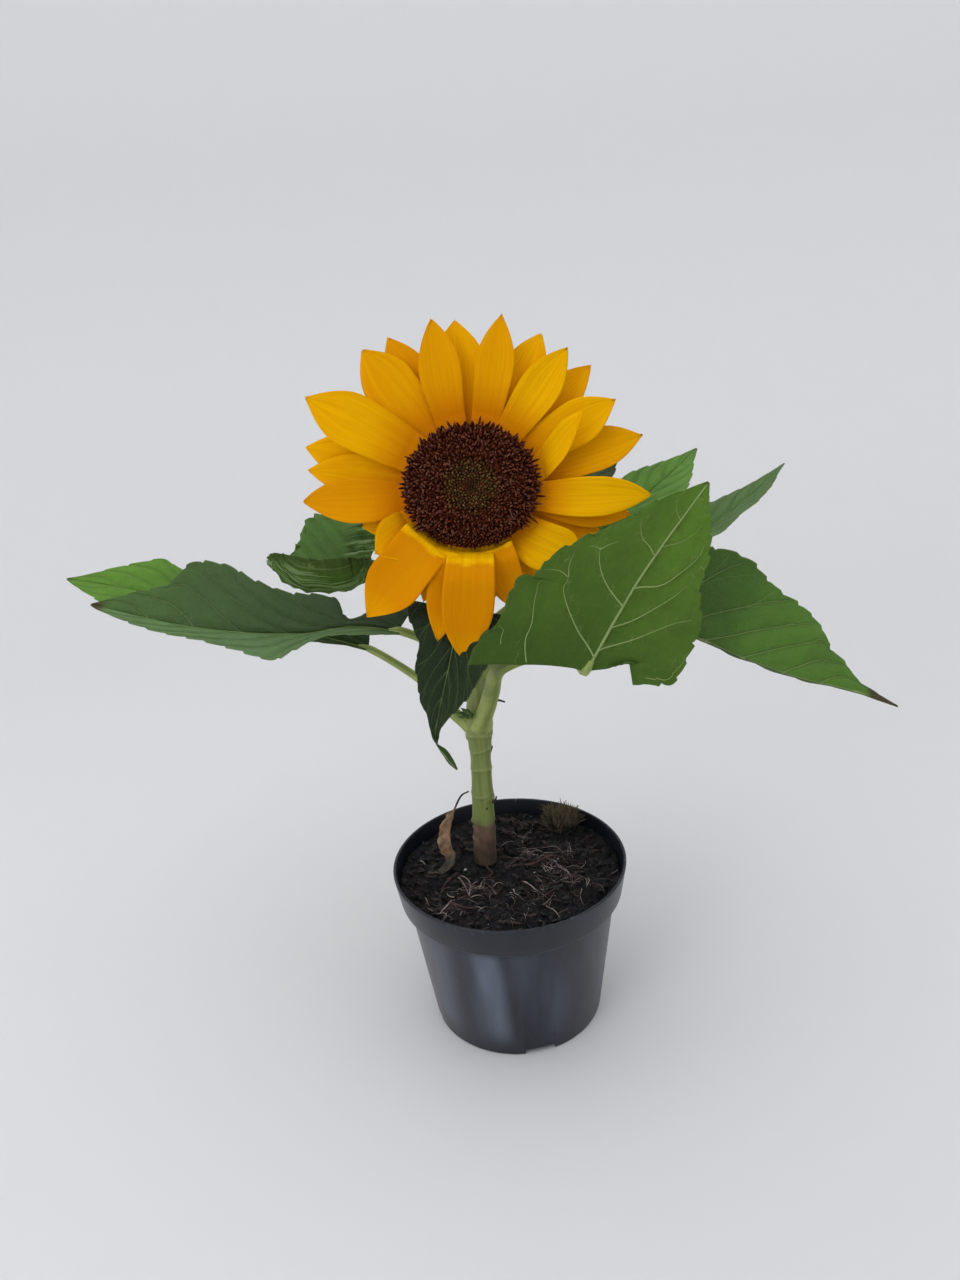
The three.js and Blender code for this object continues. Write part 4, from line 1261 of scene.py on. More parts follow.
def vein_phase(half, u, across):
    """Whole numbers fall on the side veins. Also gives the distance in u from vein to vein."""
    veins = half.get("veins", even_veins)
    phase = np.zeros(u.shape)
    span = np.zeros(u.shape)
    for j in range(u.shape[1]):
        places = np.array([start + (end - start) * across[0, j] ** bow for start, end, bow in veins])
        places = np.maximum.accumulate(places + 0.004 * np.arange(len(veins)))
        numbers = np.arange(len(veins))
        first = (u[:, j] - places[0]) / (places[1] - places[0])
        last = numbers[-1] + (u[:, j] - places[-1]) / (places[-1] - places[-2])
        inner = np.interp(u[:, j], places, numbers)
        here = np.where(u[:, j] < places[0], first, np.where(u[:, j] > places[-1], last, inner))
        phase[:, j] = np.clip(here, -0.45, len(veins) - 0.55)
        gaps = np.diff(places)
        span[:, j] = np.interp(phase[:, j] - 0.5, numbers[:-1], gaps)
    return phase, span


half_columns = np.concatenate([[0, 0.012, 0.03, 0.055, 0.085], np.linspace(0.12, 0.96, 18), [0.985, 1]])
leaf_columns = np.concatenate([-half_columns[:0:-1], half_columns])
rows_per_tooth = 9
leaf_thickness = 0.42

leaf_finish = Finish("leaf blade")
phase, across_share, _ = leaf_finish.parts(leaf_finish.node("UVMap", {"uv_map": "veins"}, {}))
blade_map = leaf_finish.node("UVMap", {"uv_map": "blade"}, {})
_, blade_across, _ = leaf_finish.parts(blade_map)
rib = leaf_finish.mesh_value("rib")
tone = leaf_finish.mesh_value("tone")
bloom = leaf_finish.mesh_value("bloom")
spacing = leaf_finish.mesh_value("spacing")
underside = leaf_finish.mesh_value("underside")
dead = leaf_finish.mesh_value("dead")
vein_shown = leaf_finish.mesh_value("vein")
wobble = leaf_finish.grain(0.16, 2, blade_map)
between_veins = phase.fract()
from_vein = (0.5 - (between_veins - 0.5).size()) * spacing
fork_ahead = (between_veins - (across_share - 0.5).most(0) * 0.76).size() * spacing
fork_behind = (1 - between_veins - (across_share - 0.62).most(0) * 0.79).size() * spacing
vein_width = 0.9 - across_share * 0.5
side_vein = (from_vein / vein_width).step(1, 0.3)
fork = (fork_ahead / vein_width).step(0.9, 0.2).most((fork_behind / vein_width).step(0.8, 0.2))
side_vein = side_vein.most(fork * 0.6) * across_share.step(0.985, 0.9)
ladder_phase = blade_across * 0.16 + wobble * 2.4 + phase * 0.5
from_ladder = 0.5 - (ladder_phase.fract() - 0.5).size()
ladder = (from_ladder / 0.06).step(1.1, 0.3) * (from_vein / 5).step(1, 0.2)
net = leaf_finish.node(
    "TexVoronoi", {"feature": "DISTANCE_TO_EDGE"}, {"Vector": blade_map, "Scale": 0.5}
)
net_line = net.step(0.13, 0.03)
midrib_line = rib.step(1.15, 0.6)
main_vein = midrib_line.most(side_vein * vein_shown)
soft = leaf_finish.grain(0.06, 3, blade_map)
mottle = leaf_finish.grain(0.35, 3, blade_map)
shaded_tone = tone * (soft * 0.8 + 0.6)
edge = across_share.step(0.978, 0.998)
ridge_grain = leaf_finish.grain(0.5, 3, blade_map, stretch=(0.1, 1.7, 1))
pleated = leaf_finish.mesh_value("pleat")
speck = leaf_finish.grain(0.9, 1, blade_map).step(0.79, 0.84)
under_green = leaf_finish.layered(
    leaf_finish.blend(shaded_tone, srgb(38, 56, 14), srgb(94, 132, 42)),
    (mottle.step(0.4, 0.75) * 0.15, srgb(44, 62, 24)),
    (net_line * 0.05, srgb(118, 140, 76)),
    (ladder * 0.4, srgb(124, 144, 80)),
    (main_vein * 0.85, srgb(146, 166, 104)),
)
# The upper side's green: its tone carries painted light and shade, and its bloom painted sheen as well as
# the leaf's own bloom
green = leaf_finish.layered(
    leaf_finish.blend(shaded_tone, srgb(14, 28, 8), srgb(98, 146, 44)),
    (bloom, srgb(106, 128, 98)),
    (mottle.step(0.45, 0.75) * 0.12, srgb(24, 42, 18)),
    (net_line * vein_shown * 0.08, srgb(126, 150, 88)),
    (ladder * vein_shown * 0.2, srgb(130, 158, 90)),
    # Painted shade beside the veins, where the blade dips to them
    (from_vein.step(2.6, 0.4) * 0.16, srgb(20, 38, 14)),
    (main_vein * 0.7, srgb(134, 158, 92)),
    (edge * 0.3, srgb(140, 160, 100)),
    (underside, under_green),
    # Streaks on pleats and puckers: pale ones, and dark ones that are painted shade in the folds
    (ridge_grain.step(0.5, 0.6) * pleated * 0.8, srgb(150, 176, 126)),
    (ridge_grain.step(0.46, 0.36) * pleated * 0.7, srgb(28, 50, 18)),
    (speck * 0.25, srgb(170, 182, 146)),
    (dead, srgb(72, 54, 40)),
)
vein_height = (main_vein + ladder * 0.3 + net_line * 0.1) * (underside * 2 - 1)
leaf_finish.paint(
    Base_Color=green,
    Roughness=soft * 0.16 + underside * 0.2 + bloom * 0.1 + 0.42,
    Specular_IOR_Level=0.18,
    Normal=leaf_finish.relief(vein_height + leaf_finish.grain(0.8, 3, blade_map) * 0.25, 0.0006),
)

both_halves = ("left", "right")
cord_values = {"tone": 0.5, "underside": 1.0}
cord_steps = 30


def cord_on(grid, facing, thick, stops):
    """A slim vein that lies on a grid of blade points and thins towards its end"""
    path = smooth_path([(along, across, 0) for along, across in stops], cord_steps)
    row = path[:, 0] * (len(grid) - 1)
    column = np.interp(path[:, 1], leaf_columns, np.arange(len(leaf_columns)))
    first_row = np.minimum(row.astype(int), len(grid) - 2)
    first_column = np.minimum(column.astype(int), len(leaf_columns) - 2)
    down = (row - first_row)[:, None]
    aside = (column - first_column)[:, None]
    near = between(grid[first_row, first_column], grid[first_row, first_column + 1], aside)
    far = between(grid[first_row + 1, first_column], grid[first_row + 1, first_column + 1], aside)
    line = between(near, far, down) + 0.06 * facing[first_row, first_column]
    return tube(line, thick * np.linspace(1, 0.22, cord_steps), 6)


def with_cords(leaf, upper, points, faces, values, maps):
    """A leaf's mesh with its raised cords, which take the midrib's colour: they count as on it"""
    facing = normals_of(upper)
    cords = [cord_on(upper, facing, *cord) for cord in leaf["cords"]]
    added = sum(len(cord_points) for cord_points, _ in cords)
    added_corners = sum(len(face) for _, cord_faces in cords for face in cord_faces)
    for key, numbers in values.items():
        values[key] = np.concatenate([numbers, np.full(added, cord_values.get(key, 0.0))])
    for key, pairs in maps.items():
        maps[key] = np.concatenate([pairs, np.full((added_corners, 2), 0.5)])
    return *gathered([(points, faces), *cords]), values, maps


def tooth_bite(leaf, seed, u, left):
    """Teeth: each rises slowly towards the tip and then steps back, on both margins"""
    phase = u * leaf["teeth"] + np.where(left, 0, 0.5)
    part = phase % 1
    size = 0.7 + 0.3 * np.sin(np.floor(phase) * 2.3 + seed)
    saw = np.minimum(part**0.7 / 0.875**0.7, 1) * (part < 0.88)
    return leaf["tooth"] * size * (saw - 0.6)


def bulged(seed, u, across, left, wide, phase, spacing, fade):
    """How far the blade bulges between its veins, waves at its margin and sinks at its midrib"""
    pillow = np.abs(np.sin(np.pi * phase)) ** 0.8 * np.minimum(1, across / 0.12) * (1 - across**4)
    pillow = pillow * np.minimum(1, spacing / 12)
    room = np.minimum(1, wide / 22)
    wave = across**2 * (np.sin(u * 15 + seed * 1.7 + 2 * left) + 0.6 * np.sin(u * 27 + seed + left))
    groove = -0.5 * np.exp(-((across * wide / 1.2) ** 2)) * (1 - u)
    return 1.3 * pillow * room + margin_wave * wave * room * fade + groove


def crumpled(u, across, left):
    """The lengthwise pleats of a crumpled leaf's left half and the puckers at its right half's
    foot: how far they lift the blade, and how strongly they streak it, pale and with painted shade"""
    pleats = 0.6 * np.sin(across * 26 + 4 * u + np.sin(9 * u)) + 0.5 * np.sin(across * 47 - 5 * u)
    pleats = pleats * np.minimum(1, across * 4) * left
    puckered = ease((0.3 - u) / 0.1) * ease((across - 0.1) / 0.15) * ~left
    pucker = np.sin(u * 46 + 7 * across + 3 * np.sin(15 * across)) * np.cos(across * 17 - 9 * u)
    flap = np.minimum(1, across * 5) * left * ease((0.98 - across) / 0.2)
    return 0.8 * pleats + 0.7 * pucker * puckered, flap * (0.45 + 0.65 * u) + puckered * 0.9


def toned(leaf, u, across, left):
    """How light a green the blade has, with painted light and shade in it: darker at a dark foot
    and where a crumpled leaf folds up, lighter towards a bright tip
    """
    shade = leaf.get("dark_foot", 0) * (1 - ease(u / 0.55))
    tones = np.where(left, *leaf["tone"]) - shade + leaf.get("tip_tone", 0) * u
    folded = ease((across - 0.74) / 0.2) * ease((0.86 - u) / 0.2) * left
    return tones - 0.5 * leaf.get("pleat", 0) * folded


def leaf_mesh(leaf, seed):
    """A leaf's points, faces, values and maps"""
    layout = laid_out(leaf)
    rows = leaf["teeth"] * rows_per_tooth + 1
    u, v = np.meshgrid(np.linspace(0, 1, rows), leaf_columns, indexing="ij")
    across = np.abs(v)
    left = v < 0
    wide = np.where(left, *[sampled(layout["margins"][key], u)[..., 1] for key in both_halves])
    fade = ease(u / 0.1) * ease((1 - u) / 0.12)
    bite = tooth_bite(leaf, seed, u, left) * fade * np.minimum(1, wide / 10)
    halves = [leaf_half(leaf, layout, key, u, v, bite) for key in both_halves]
    smooth_blade = np.where(left[..., None], *halves)

    # Relief, which lies the other way on a blade that shows its underside
    left_veins, right_veins = [vein_phase(leaf[key], u, across) for key in both_halves]
    phase_here, span_here = [np.where(left, *pair) for pair in zip(left_veins, right_veins)]
    row_length = np.linalg.norm(np.gradient(smooth_blade, axis=0), axis=-1) * (rows - 1)
    spacing_here = span_here * row_length
    pleat = leaf.get("pleat", 0)
    lifted, streaked = crumpled(u, across, left)
    raised = bulged(seed, u, across, left, wide, phase_here, spacing_here, fade) + pleat * lifted
    turned_over = leaf.get("turned", False)
    points = smooth_blade + normals_of(smooth_blade) * (raised * (-1 if turned_over else 1))[..., None]

    # The midrib stands out of the underside as a round cord
    from_midrib = across * wide / (leaf.get("rib", midrib_half) * between(1.0, 0.3, u))
    cord = np.exp(-(from_midrib**2)) * between(midrib_height, 0.15, u)
    above_cord, below_cord = (cord, 0 * cord) if turned_over else (0 * cord, cord)
    facing = normals_of(points)
    upper = points + facing * (leaf_thickness / 2 + above_cord)[..., None]
    lower = points - facing * (leaf_thickness / 2 + below_cord)[..., None]
    both = np.concatenate([upper.reshape(-1, 3), lower.reshape(-1, 3)])
    faces = closed_faces(rows, len(leaf_columns))

    # Each corner of a face takes its vein number from its own half of the blade
    count = rows * len(leaf_columns)
    corners = faces % count
    face_left = (corners % len(leaf_columns)).mean(1) < len(half_columns) - 1
    numbers = [phase.ravel()[corners] for phase, _ in (left_veins, right_veins)]
    corner_phase = np.where(face_left[:, None], *numbers)
    along_mm = (u * layout["length"]).ravel()[corners]
    across_mm = (v * wide).ravel()[corners] + map_apart * seed
    maps = {
        "veins": np.stack([corner_phase, across.ravel()[corners]], -1).reshape(-1, 2),
        "blade": np.stack([along_mm, across_mm], -1).reshape(-1, 2),
    }
    values = {
        "rib": from_midrib,
        "tone": toned(leaf, u, across, left),
        "bloom": np.where(left, *leaf["bloom"]),
        "spacing": spacing_here,
        "vein": np.where(left, *leaf["vein"]),
        "dead": 0.85 * ease((u - leaf.get("dead", withered_from)) / 0.03),
        "pleat": pleat * streaked,
    }
    values = {key: np.tile(numbers.ravel(), 2) for key, numbers in values.items()}
    values["underside"] = np.repeat([1.0, 0.0] if turned_over else [0.0, 1.0], count)
    if "cords" in leaf:
        return with_cords(leaf, upper, both, faces, values, maps)
    return both, faces, values, maps


for number, leaf in enumerate(leaves):
    points, faces, values, maps = leaf_mesh(leaf, number + 1)
    piece = new_piece("blade_" + leaf["name"], points, faces, leaf_finish, values, maps)
    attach(piece, "root")
    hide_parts("leaf_" + leaf["name"])

# The petioles: round fleshy leaf stalks that grow from the stem, flare where they join it, and
# run into the midrib of their blade. Each has a shallow groove along it, painted darker as shade.

petiole_finish = Finish("fleshy petiole")
petiole_streak = petiole_finish.grain(420, 4)
petiole_blotch = petiole_finish.grain(90, 2).step(0.35, 0.65)
petiole_groove_shade = petiole_finish.mesh_value("groove")
petiole_colour = petiole_finish.layered(
    petiole_finish.blend(petiole_blotch, srgb(126, 144, 68), srgb(156, 170, 92)),
    (petiole_streak.step(0.45, 0.75) * 0.4, srgb(150, 164, 104)),
    # Painted shade in the groove
    (petiole_groove_shade * 0.45, srgb(70, 86, 40)),
)
petiole_finish.paint(
    Base_Color=petiole_colour,
    Roughness=petiole_streak * 0.2 + 0.42,
    Normal=petiole_finish.relief(petiole_streak, 0.0002),
)
petiole_rows = 70
petiole_sides = 20
groove_side = unit(np.array([0.3, -0.8, 0.5]))

for leaf in leaves:
    start = stem_line[np.argmin(np.abs(stem_line[:, 2] - leaf["height"]))]
    foot = np.array(leaf["midrib"][0], float)
    along = unit(np.array(leaf["midrib"][1], float) - foot)
    line = smooth_path([start, *leaf["by"], foot, foot + along * 5], petiole_rows)
    share = np.linspace(0, 1, petiole_rows)
    radii = between(*leaf["radius"], ease(share * 1.4))
    run = np.linalg.norm(line - start, axis=1)
    radii = radii * (1 + 0.4 * np.exp(-(((run - 4) / 4.5) ** 2)))
    radii = radii * (1 - 0.55 * ease((share - 0.9) / 0.1))
    points, faces = tube(line, radii, petiole_sides)
    ring_way = unit(points - np.repeat(line, petiole_sides, 0))
    limb_way = np.repeat(unit(np.gradient(line, axis=0)), petiole_sides, 0)
    groove_way = unit(groove_side - limb_way * (limb_way @ groove_side)[:, None])
    groove = np.exp(-(((1 - (ring_way * groove_way).sum(1)) / 0.05) ** 2))
    points = points - ring_way * (0.35 * groove)[:, None]
    piece = new_piece("stalk_" + leaf["name"], points, faces, petiole_finish, {"groove": groove})
    hairs += hairs_along(line, radii, petiole_hairs, 0.5, 0.12)
    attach(piece, "root")
    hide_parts("petiole_" + leaf["name"])

hair_piece = new_piece("stem_hairs", *gathered(hairs), hair_finish)
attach(hair_piece, "root")

# The flower's receptacle: a shallow green bowl that the stem widens into. Pointed green bracts
# grow from it in overlapping rings behind the petals.

flower = dict(disc=30.5, rise=7.5, collar=22.4, claw=31.6, layer=1.25, bracts=14, inner_bracts=12)
seat = -3 * flower["layer"] - 1.1
bowl_profile = softened([
    [0.2, receptacle_back],
    [4.6, receptacle_back],
    [9, -15],
    [21, -9],
    [28.5, seat - 1],
    [29, seat],
    [flower["collar"], seat],
    [flower["collar"], -0.9],
    [0.2, -0.9],
], 2.2)
bowl_sides = 84
bowl = turned(bowl_profile, bowl_sides)
bowl_angle = np.arctan2(bowl[:, 1], bowl[:, 0])
swell = 1 + 0.02 * np.cos(14 * bowl_angle) * ease((np.hypot(bowl[:, 0], bowl[:, 1]) - 6) / 10)
bowl_points = on_flower(bowl[:, 0] * swell, bowl[:, 1] * swell, bowl[:, 2])
bowl_faces = capped_faces(len(bowl_profile), bowl_sides)

bract_rows = 16
bract_columns = 9
bract_thickness = 0.7


def bract(angle, start, long, wide, depth, sag):
    """A pointed bract that grows outwards from start and lies depth behind the face"""
    u = np.linspace(0, 1, bract_rows)[:, None]
    v = np.linspace(-1, 1, bract_columns)[None, :]
    half = wide * np.sin(np.pi * (0.25 + 0.75 * u)) * (1 - 0.3 * u) + 0.25
    away = start + long * u + 0 * v
    height = depth - sag * np.sin(np.pi * u) + 0.9 * v * v - 0.4 * np.exp(-((v / 0.14) ** 2)) * (1 - u)
    x = math.cos(angle) * away - math.sin(angle) * half * v
    y = math.sin(angle) * away + math.cos(angle) * half * v
    thickness = np.full((bract_rows, bract_columns), bract_thickness)
    return thin_sheet(on_flower(x, y, height), thickness)


bracts = [(bowl_points, bowl_faces)]
for i in range(flower["bracts"]):
    angle = 2 * math.pi * i / flower["bracts"]
    long = 27 + 3 * math.sin(3 * angle + 1)
    bracts.append(bract(angle, 20, long, 6.5, seat - 2.6, 3))
for i in range(flower["inner_bracts"]):
    angle = 2 * math.pi * (i + 0.4) / flower["inner_bracts"]
    bracts.append(bract(angle, 14, 25 + 3 * math.sin(5 * angle), 5.8, seat - 5.4, 2.4))

bract_finish = Finish("green bracts")
bract_tint = bract_finish.grain(110, 3).step(0.3, 0.7)
bract_streak = bract_finish.grain(900, 3)
bract_colour = bract_finish.blend(bract_tint, srgb(66, 92, 44), srgb(98, 128, 62))
bract_colour = bract_finish.blend(bract_streak.step(0.5, 0.8) * 0.5, bract_colour, srgb(140, 160, 100))
bract_finish.paint(
    Base_Color=bract_colour,
    Roughness=0.6,
    Normal=bract_finish.relief(bract_streak, 0.0003),
)
bract_piece = new_piece("flower_bracts", *gathered(bracts), bract_finish)
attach(bract_piece, "root")
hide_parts("flower_receptacle")

# The disc: over a thousand slim florets packed in spirals on a low dome. The outer ones are dark
# maroon and spiky with pale tips, and the closed buds at the centre are olive green.

disc_squash = 0.91
dome_profile = [
    [flower["disc"], 2],
    [flower["disc"] - 1, 4.2],
    [flower["disc"] * 0.84, flower["rise"] - 1],
    [flower["disc"] * 0.6, flower["rise"]],
    [flower["disc"] * 0.3, flower["rise"] - 0.3],
    [0, flower["rise"] - 1.8],
]
dome_radii = np.array(dome_profile)[::-1, 0]
dome_heights = np.array(dome_profile)[::-1, 1]


def dome_height(radius):
    """How high the disc's dome stands at a distance from its middle"""
    return np.interp(radius, dome_radii, dome_heights)


cushion_sides = 72
cushion_profile = [[0.2, -0.6], [flower["collar"] - 0.4, -0.6], [flower["collar"] - 0.4, 0.8]]
cushion_profile += [[flower["disc"] - 2, 0.8]]
cushion_profile += [[max(r - 1.6, 0.2), h - 2.4] for r, h in dome_profile]
cushion = turned(softened(cushion_profile, 1), cushion_sides) * [1, disc_squash, 1]
cushion_points = on_flower(*cushion.T)
cushion_faces = capped_faces(len(cushion) // cushion_sides, cushion_sides)

golden_turn = math.radians(137.508)
floret_count = 1500
disc_dice = random.Random(8)
floret_sides = 5


def floret(x, y, height, lean, wide, tall):
    """A floret: a slim five-sided bud or tube with a pointed end, and how far up it each point is"""
    angles = np.linspace(0, 2 * np.pi, floret_sides, endpoint=False) + disc_dice.uniform(0, 2)
    rings = [(0, 0.75), (0.5, 1), (0.8, 0.72), (1, 0.12)]
    points = []
    share = []
    for up_share, radius in rings:
        shift = np.asarray(lean) * up_share**1.5 * tall
        px = x + shift[0] + wide * radius * np.cos(angles)
        py = y + shift[1] + wide * radius * np.sin(angles)
        points.append(on_flower(px, py, height + tall * up_share + 0 * px))
        share += [up_share] * floret_sides
    return np.concatenate(points), capped_faces(len(rings), floret_sides), share


def curl(x, y, height, angle, size):
    """One of the two curled tips of an open floret's style"""
    out = np.array([math.cos(angle), math.sin(angle)])
    steps = [(0, 0), (0.5, 0.7), (1.1, 0.95), (1.5, 0.6), (1.35, 0.25)]
    path = [on_flower(x + out[0] * a * size, y + out[1] * a * size, height + b * size) for a, b in steps]
    return tube(np.array(path), [0.14, 0.14, 0.13, 0.1, 0.05], 4)


disc_shapes = [(cushion_points, cushion_faces)]
disc_tip = [np.zeros(len(cushion_points))]
disc_green = [np.zeros(len(cushion_points))]
disc_core = [np.zeros(len(cushion_points))]
curls = []
for k in range(floret_count):
    zone = math.sqrt((k + 0.5) / floret_count)
    radius = (flower["disc"] - 1.6) * zone
    angle = k * golden_turn
    outwards = np.array([math.cos(angle), math.sin(angle)])
    x = radius * outwards[0]
    y = radius * outwards[1] * disc_squash
    stray = np.array([disc_dice.gauss(0, 0.2), disc_dice.gauss(0, 0.2)]) * min(1, zone * 2.5)
    lean = outwards * (-0.15 + 0.6 * zone) + stray
    if outwards[1] < -0.75:
        lean = lean * between(1.0, 0.3, float(ease((zone - 0.7) / 0.25)))
    tall = between(2.2, 3.4, float(ease(zone / 0.55))) * disc_dice.uniform(0.78, 1.18)
    if zone > 0.95 and k % 3 == 0:
        tall *= 1.3
    wide = between(0.5, 0.58, float(ease(zone / 0.5)))
    base = float(dome_height(radius)) - 2.7
    points, faces, share = floret(x, y, base, lean, wide, tall)
    disc_shapes.append((points, faces))
    disc_tip.append(np.array(share) ** 3 * disc_dice.choice([0.12, 0.3, 0.5, 1.0]))
    disc_green.append(np.full(len(points), 1 - float(ease((zone - 0.3) / 0.18))))
    disc_core.append(np.full(len(points), 1 - float(ease((zone - 0.07) / 0.08))))
    if 0.45 < zone < 0.9 and disc_dice.random() < 0.14:
        shift = lean * tall * 0.9
        way = disc_dice.uniform(0, 2 * math.pi)
        curls.append(curl(x + shift[0], y + shift[1], base + tall * 0.92, way, 0.5))
        curls.append(curl(x + shift[0], y + shift[1], base + tall * 0.92, way + math.pi, 0.5))

floret_finish = Finish("maroon disc florets")
tip_share = floret_finish.mesh_value("tip")
green_share = floret_finish.mesh_value("green")
core_share = floret_finish.mesh_value("core")
floret_tint = floret_finish.grain(420, 2)
maroon = floret_finish.blend(floret_tint.step(0.3, 0.7), srgb(62, 21, 11), srgb(116, 58, 36))
maroon = floret_finish.blend(tip_share.step(0.1, 0.95) * 0.8, maroon, srgb(136, 92, 70))
olive = floret_finish.blend(tip_share.step(0.05, 0.7), srgb(82, 66, 32), srgb(122, 108, 60))
disc_colour = floret_finish.layered(maroon, (green_share, olive), (core_share * 0.7, srgb(36, 34, 18)))
floret_finish.paint(Base_Color=disc_colour, Roughness=floret_tint * 0.3 + 0.55, Specular_IOR_Level=0.08)
disc_points, disc_faces = gathered(disc_shapes)
disc_values = {
    "tip": np.concatenate(disc_tip),
    "green": np.concatenate(disc_green),
    "core": np.concatenate(disc_core),
}
disc_piece = new_piece("disc_florets", disc_points, disc_faces, floret_finish, disc_values)
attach(disc_piece, "root")
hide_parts("flower_disc")

curl_finish = speckled("curled style tips", 500, 1, (64, 28, 24), (146, 98, 78), 0.6, 0.35, 0.65)
curl_piece = new_piece("style_tips", *gathered(curls), curl_finish)
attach(curl_piece, "root")

# The petals: long golden ray florets in four close layers. Each starts in a flat claw under the
# disc's edge, lifts off the face, and is cupped and grooved lengthwise, deep orange at its foot,
# where the orange is painted shade. The lowest ones rise steeply, roll over and hang, and their
# hanging parts are painted deep orange as shade.

# Each petal: its angle on the face, its reach and width, its layer from the front, the slope of
# its foot and of its tip off the face in degrees, and how far its tip leans aside
petals = [
    (73, 70.5, 16, 0, 20, 4, 3), (103.5, 70, 17.5, 1, 16, 4, -5), (89, 70, 22, 3, 4, -4, 3),
    (114.5, 72, 19, 3, 4, -6, 1), (125.5, 73, 23, 2, 8, 0, -1), (146.5, 77.5, 23, 0, 18, 2, 2),
    (161.5, 73, 20, 3, 4, -6, 1), (170, 70, 17, 2, 6, -4, 0), (186, 71, 19, 1, 16, 0, -6),
    (196, 50, 16, 3, 2, -8, 0), (211, 49, 20, 0, 45, 10, 0), (227, 71, 24, 2, 6, -20, 0),
    (243, 53, 14, 3, 0, -6, 0), (251, 67, 16, 2, 40, -25, 3), (266, 74, 22, 0, 55, -30, -3),
    (272, 48, 14, 3, 0, -12, 0), (289, 55, 15, 1, 50, -10, -3), (300, 48, 14, 3, 4, -10, 0),
    (312, 56, 22.5, 1, 22, 0, 9), (336, 60, 16, 3, 2, -8, 0), (346, 69, 17, 2, 8, -4, 0),
    (347.5, 75, 17, 0, 24, 0, 7), (12.5, 76, 19, 3, 6, -4, 0), (8, 51, 14, 0, 42, 30, 19),
    (26.5, 70, 19, 1, 14, 4, 0), (41, 72, 17, 3, 4, -4, 0), (50.5, 69, 17, 0, 18, 4, 0),
    (61, 70, 19, 2, 8, 0, 0),
]
# Painted shade: how deep an orange the petals that lie in shade are, by their angle; the rest are a
# light gold
shaded_petals = {
    73: 0.6, 103.5: 0.6, 114.5: 0.55, 125.5: 0.4, 146.5: 0.2, 161.5: 0, 170: 0.2, 186: 0.8, 211: 0.5,
    41: 0.3, 12.5: 0.3, 346: 0.6, 336: 0.6, 312: 0, 347.5: 0.05, 61: 0.1, 89: 0.1,
}
petal_thickness = 0.36
petal_rows = 48
petal_columns = 21
spine_steps = 40
# The petals at the lower edge rise steeply, roll over and hang
rolled = dict(lift=80, tip=-8, turn=0.4, claw=27)
ledge_petals = (227, 243, 251, 266, 272, 289)


def petal_share(s, foot_share):
    """How wide a petal is at s of its length, as a share of its widest"""
    rising = foot_share + (1 - foot_share) * np.sin(np.clip((s - 0.1) / 0.5, 0, 1) * np.pi / 2)
    return np.where(s < 0.6, rising, 1 - 0.96 * ((s - 0.6) / 0.4) ** 2)


def petal_spine(start, claw_end, reach, lift, tip_lift, turn):
    """The petal's middle line seen from the side: out from the centre, off the face, and its slope"""
    claw = claw_end - start
    long = reach - claw_end
    for _ in range(12):
        step = (claw + long) / spine_steps
        run = (np.arange(spine_steps) + 0.5) * step
        part = np.clip((run - claw) / long / turn, 0, 1)
        slope = np.where(run < claw, 0, np.radians(between(lift, tip_lift, part)))
        away = start + np.concatenate([[0], np.cumsum(np.cos(slope))]) * step
        height = np.concatenate([[0], np.cumsum(np.sin(slope))]) * step
        long += reach - away[-1]
    return away, height, np.append(slope, slope[-1])


def petal_relief(s, v, half, seed, hangs):
    """How far a petal stands off its middle line: it is cupped, ridged, creased and wavy"""
    cup = 0.16 * ease((s - 0.1) / 0.4) * (1 - 0.5 * ease((s - 0.6) / 0.4))
    swell = ease((s - 0.12) / 0.3) * (1 - ease((s - 0.8) / 0.2))
    ridge = (0.07 * np.cos(3 * np.pi * v) + 0.03 * np.cos(7 * np.pi * v + seed)) * swell
    flutter = 0.5 * v**3 * np.sin(5 * s + seed * 1.3) * ease((s - 0.4) / 0.4)
    crease = -0.2 * np.exp(-((v / 0.12) ** 2)) * swell
    if hangs:
        crease = crease + 0.9 * np.exp(-(((s - 0.235) / 0.025) ** 2)) * (1 + 0.4 * np.sin(4 * v + seed))
    return cup * half * v * v + ridge + flutter + crease


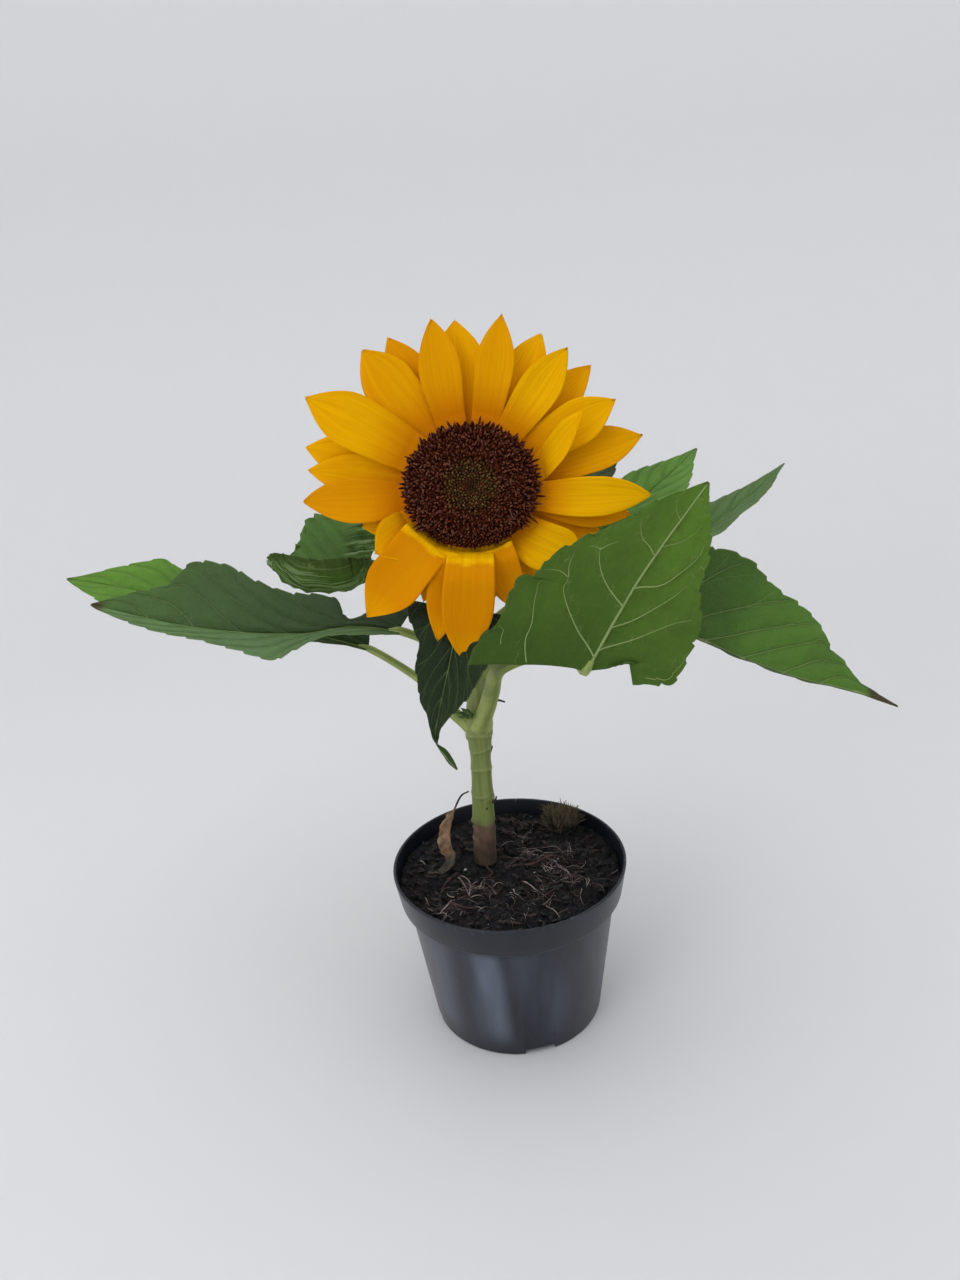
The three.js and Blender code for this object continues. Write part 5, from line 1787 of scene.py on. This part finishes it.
def petal_mesh(row, seed):
    """A petal's points, faces, values and maps"""
    at, reach, wide, layer, lift, tip_lift, lean = row
    hangs = at in ledge_petals
    if hangs:
        spine = (rolled["claw"], reach, rolled["lift"], rolled["tip"], rolled["turn"])
    else:
        spine = (flower["claw"], reach, lift, tip_lift, 1)
    away, height, slope = petal_spine(flower["collar"] + 0.5, *spine)
    s = np.linspace(0, 1, petal_rows)[:, None]
    v = np.linspace(-1, 1, petal_columns)[None, :]
    knots = np.linspace(0, 1, spine_steps + 1)
    r = np.interp(s, knots, away)
    h = np.interp(s, knots, height)
    angle = np.interp(s, knots, slope)
    half = wide / 2 * petal_share(s, 0.9 if hangs else 0.74) * (1 + 0.02 * np.sin(11 * s + seed))
    raise_up = petal_relief(s, v, half, seed, hangs)
    outward = r - np.sin(angle) * raise_up
    notch = 0.8 * np.cos(2 * np.pi * v) * ease((s - 0.93) / 0.07)
    outward = outward + notch * (1 - v * v)
    sideways = half * v + lean * s**1.5
    turn = math.radians(at)
    x = math.cos(turn) * outward - math.sin(turn) * sideways
    y = math.sin(turn) * outward + math.cos(turn) * sideways
    z = 0.2 - flower["layer"] * layer + h + np.cos(angle) * raise_up
    points, faces = thin_sheet(on_flower(x, y, z), np.full((petal_rows, petal_columns), petal_thickness))
    count = petal_rows * petal_columns
    corners = faces % count
    along_share = (s + 0 * v).ravel()[corners]
    across_share = (v + 0 * s).ravel()[corners]
    maps = {"petal": np.stack([along_share + 2 * seed, across_share], -1)}
    # Painted shade: deeper orange for petals in shade, and a little deeper for each layer further back
    shade = shaded_petals.get(at, 0.12) + 0.05 * layer
    foot = 1 - s + 0 * v
    # The hanging parts of the lowest petals are painted deep orange as shade; their rolled feet stay light
    if hangs:
        shade = 1.2 * ease((s - 0.255 - 0.012 * np.sin(5 * v + seed)) / 0.03)
        shade = shade * (1 - 0.45 * ease((s - 0.6) / 0.4))
        foot = 0 * foot
    values = {
        "shade": np.tile(np.clip(shade + 0 * s * v, 0, 1).ravel(), 2),
        "foot": np.tile(foot.ravel(), 2),
    }
    return points, faces, values, maps


petal_finish = Finish("golden petals")
petal_map = petal_finish.node("UVMap", {"uv_map": "petal"}, {})
_, petal_across, _ = petal_finish.parts(petal_map)
petal_foot_shade = petal_finish.mesh_value("foot")
petal_shade = petal_finish.mesh_value("shade")
long_grain = petal_finish.grain(9, 3, petal_map, stretch=(0.16, 1, 1))
fine_grain = petal_finish.grain(30, 3, petal_map, stretch=(0.08, 1, 1))
groove = (petal_across * 17 + long_grain * 5).wave() * 0.5 + 0.5
golden = petal_finish.layered(
    petal_finish.blend(long_grain.step(0.3, 0.7), srgb(238, 172, 0), srgb(250, 190, 0)),
    (petal_shade * 0.8, srgb(216, 128, 0)),
    # Painted shade: deep orange at the petals' feet near the disc
    (petal_foot_shade.step(0.45, 0.9) * 0.75, srgb(206, 108, 0)),
    (groove * fine_grain.step(0.3, 0.7) * 0.06, srgb(220, 134, 0)),
)
petal_finish.paint(
    Base_Color=golden,
    Roughness=fine_grain * 0.2 + 0.5,
    Specular_IOR_Level=0.02,
    Normal=petal_finish.relief(groove * 0.6 + fine_grain * 0.4, 0.00008),
)
for number, row in enumerate(petals, 1):
    points, faces, values, maps = petal_mesh(row, number)
    piece = new_piece(f"ray_floret_{number:02d}", points, faces, petal_finish, values, maps)
    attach(piece, "root")
    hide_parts(f"petal_{number:02d}")
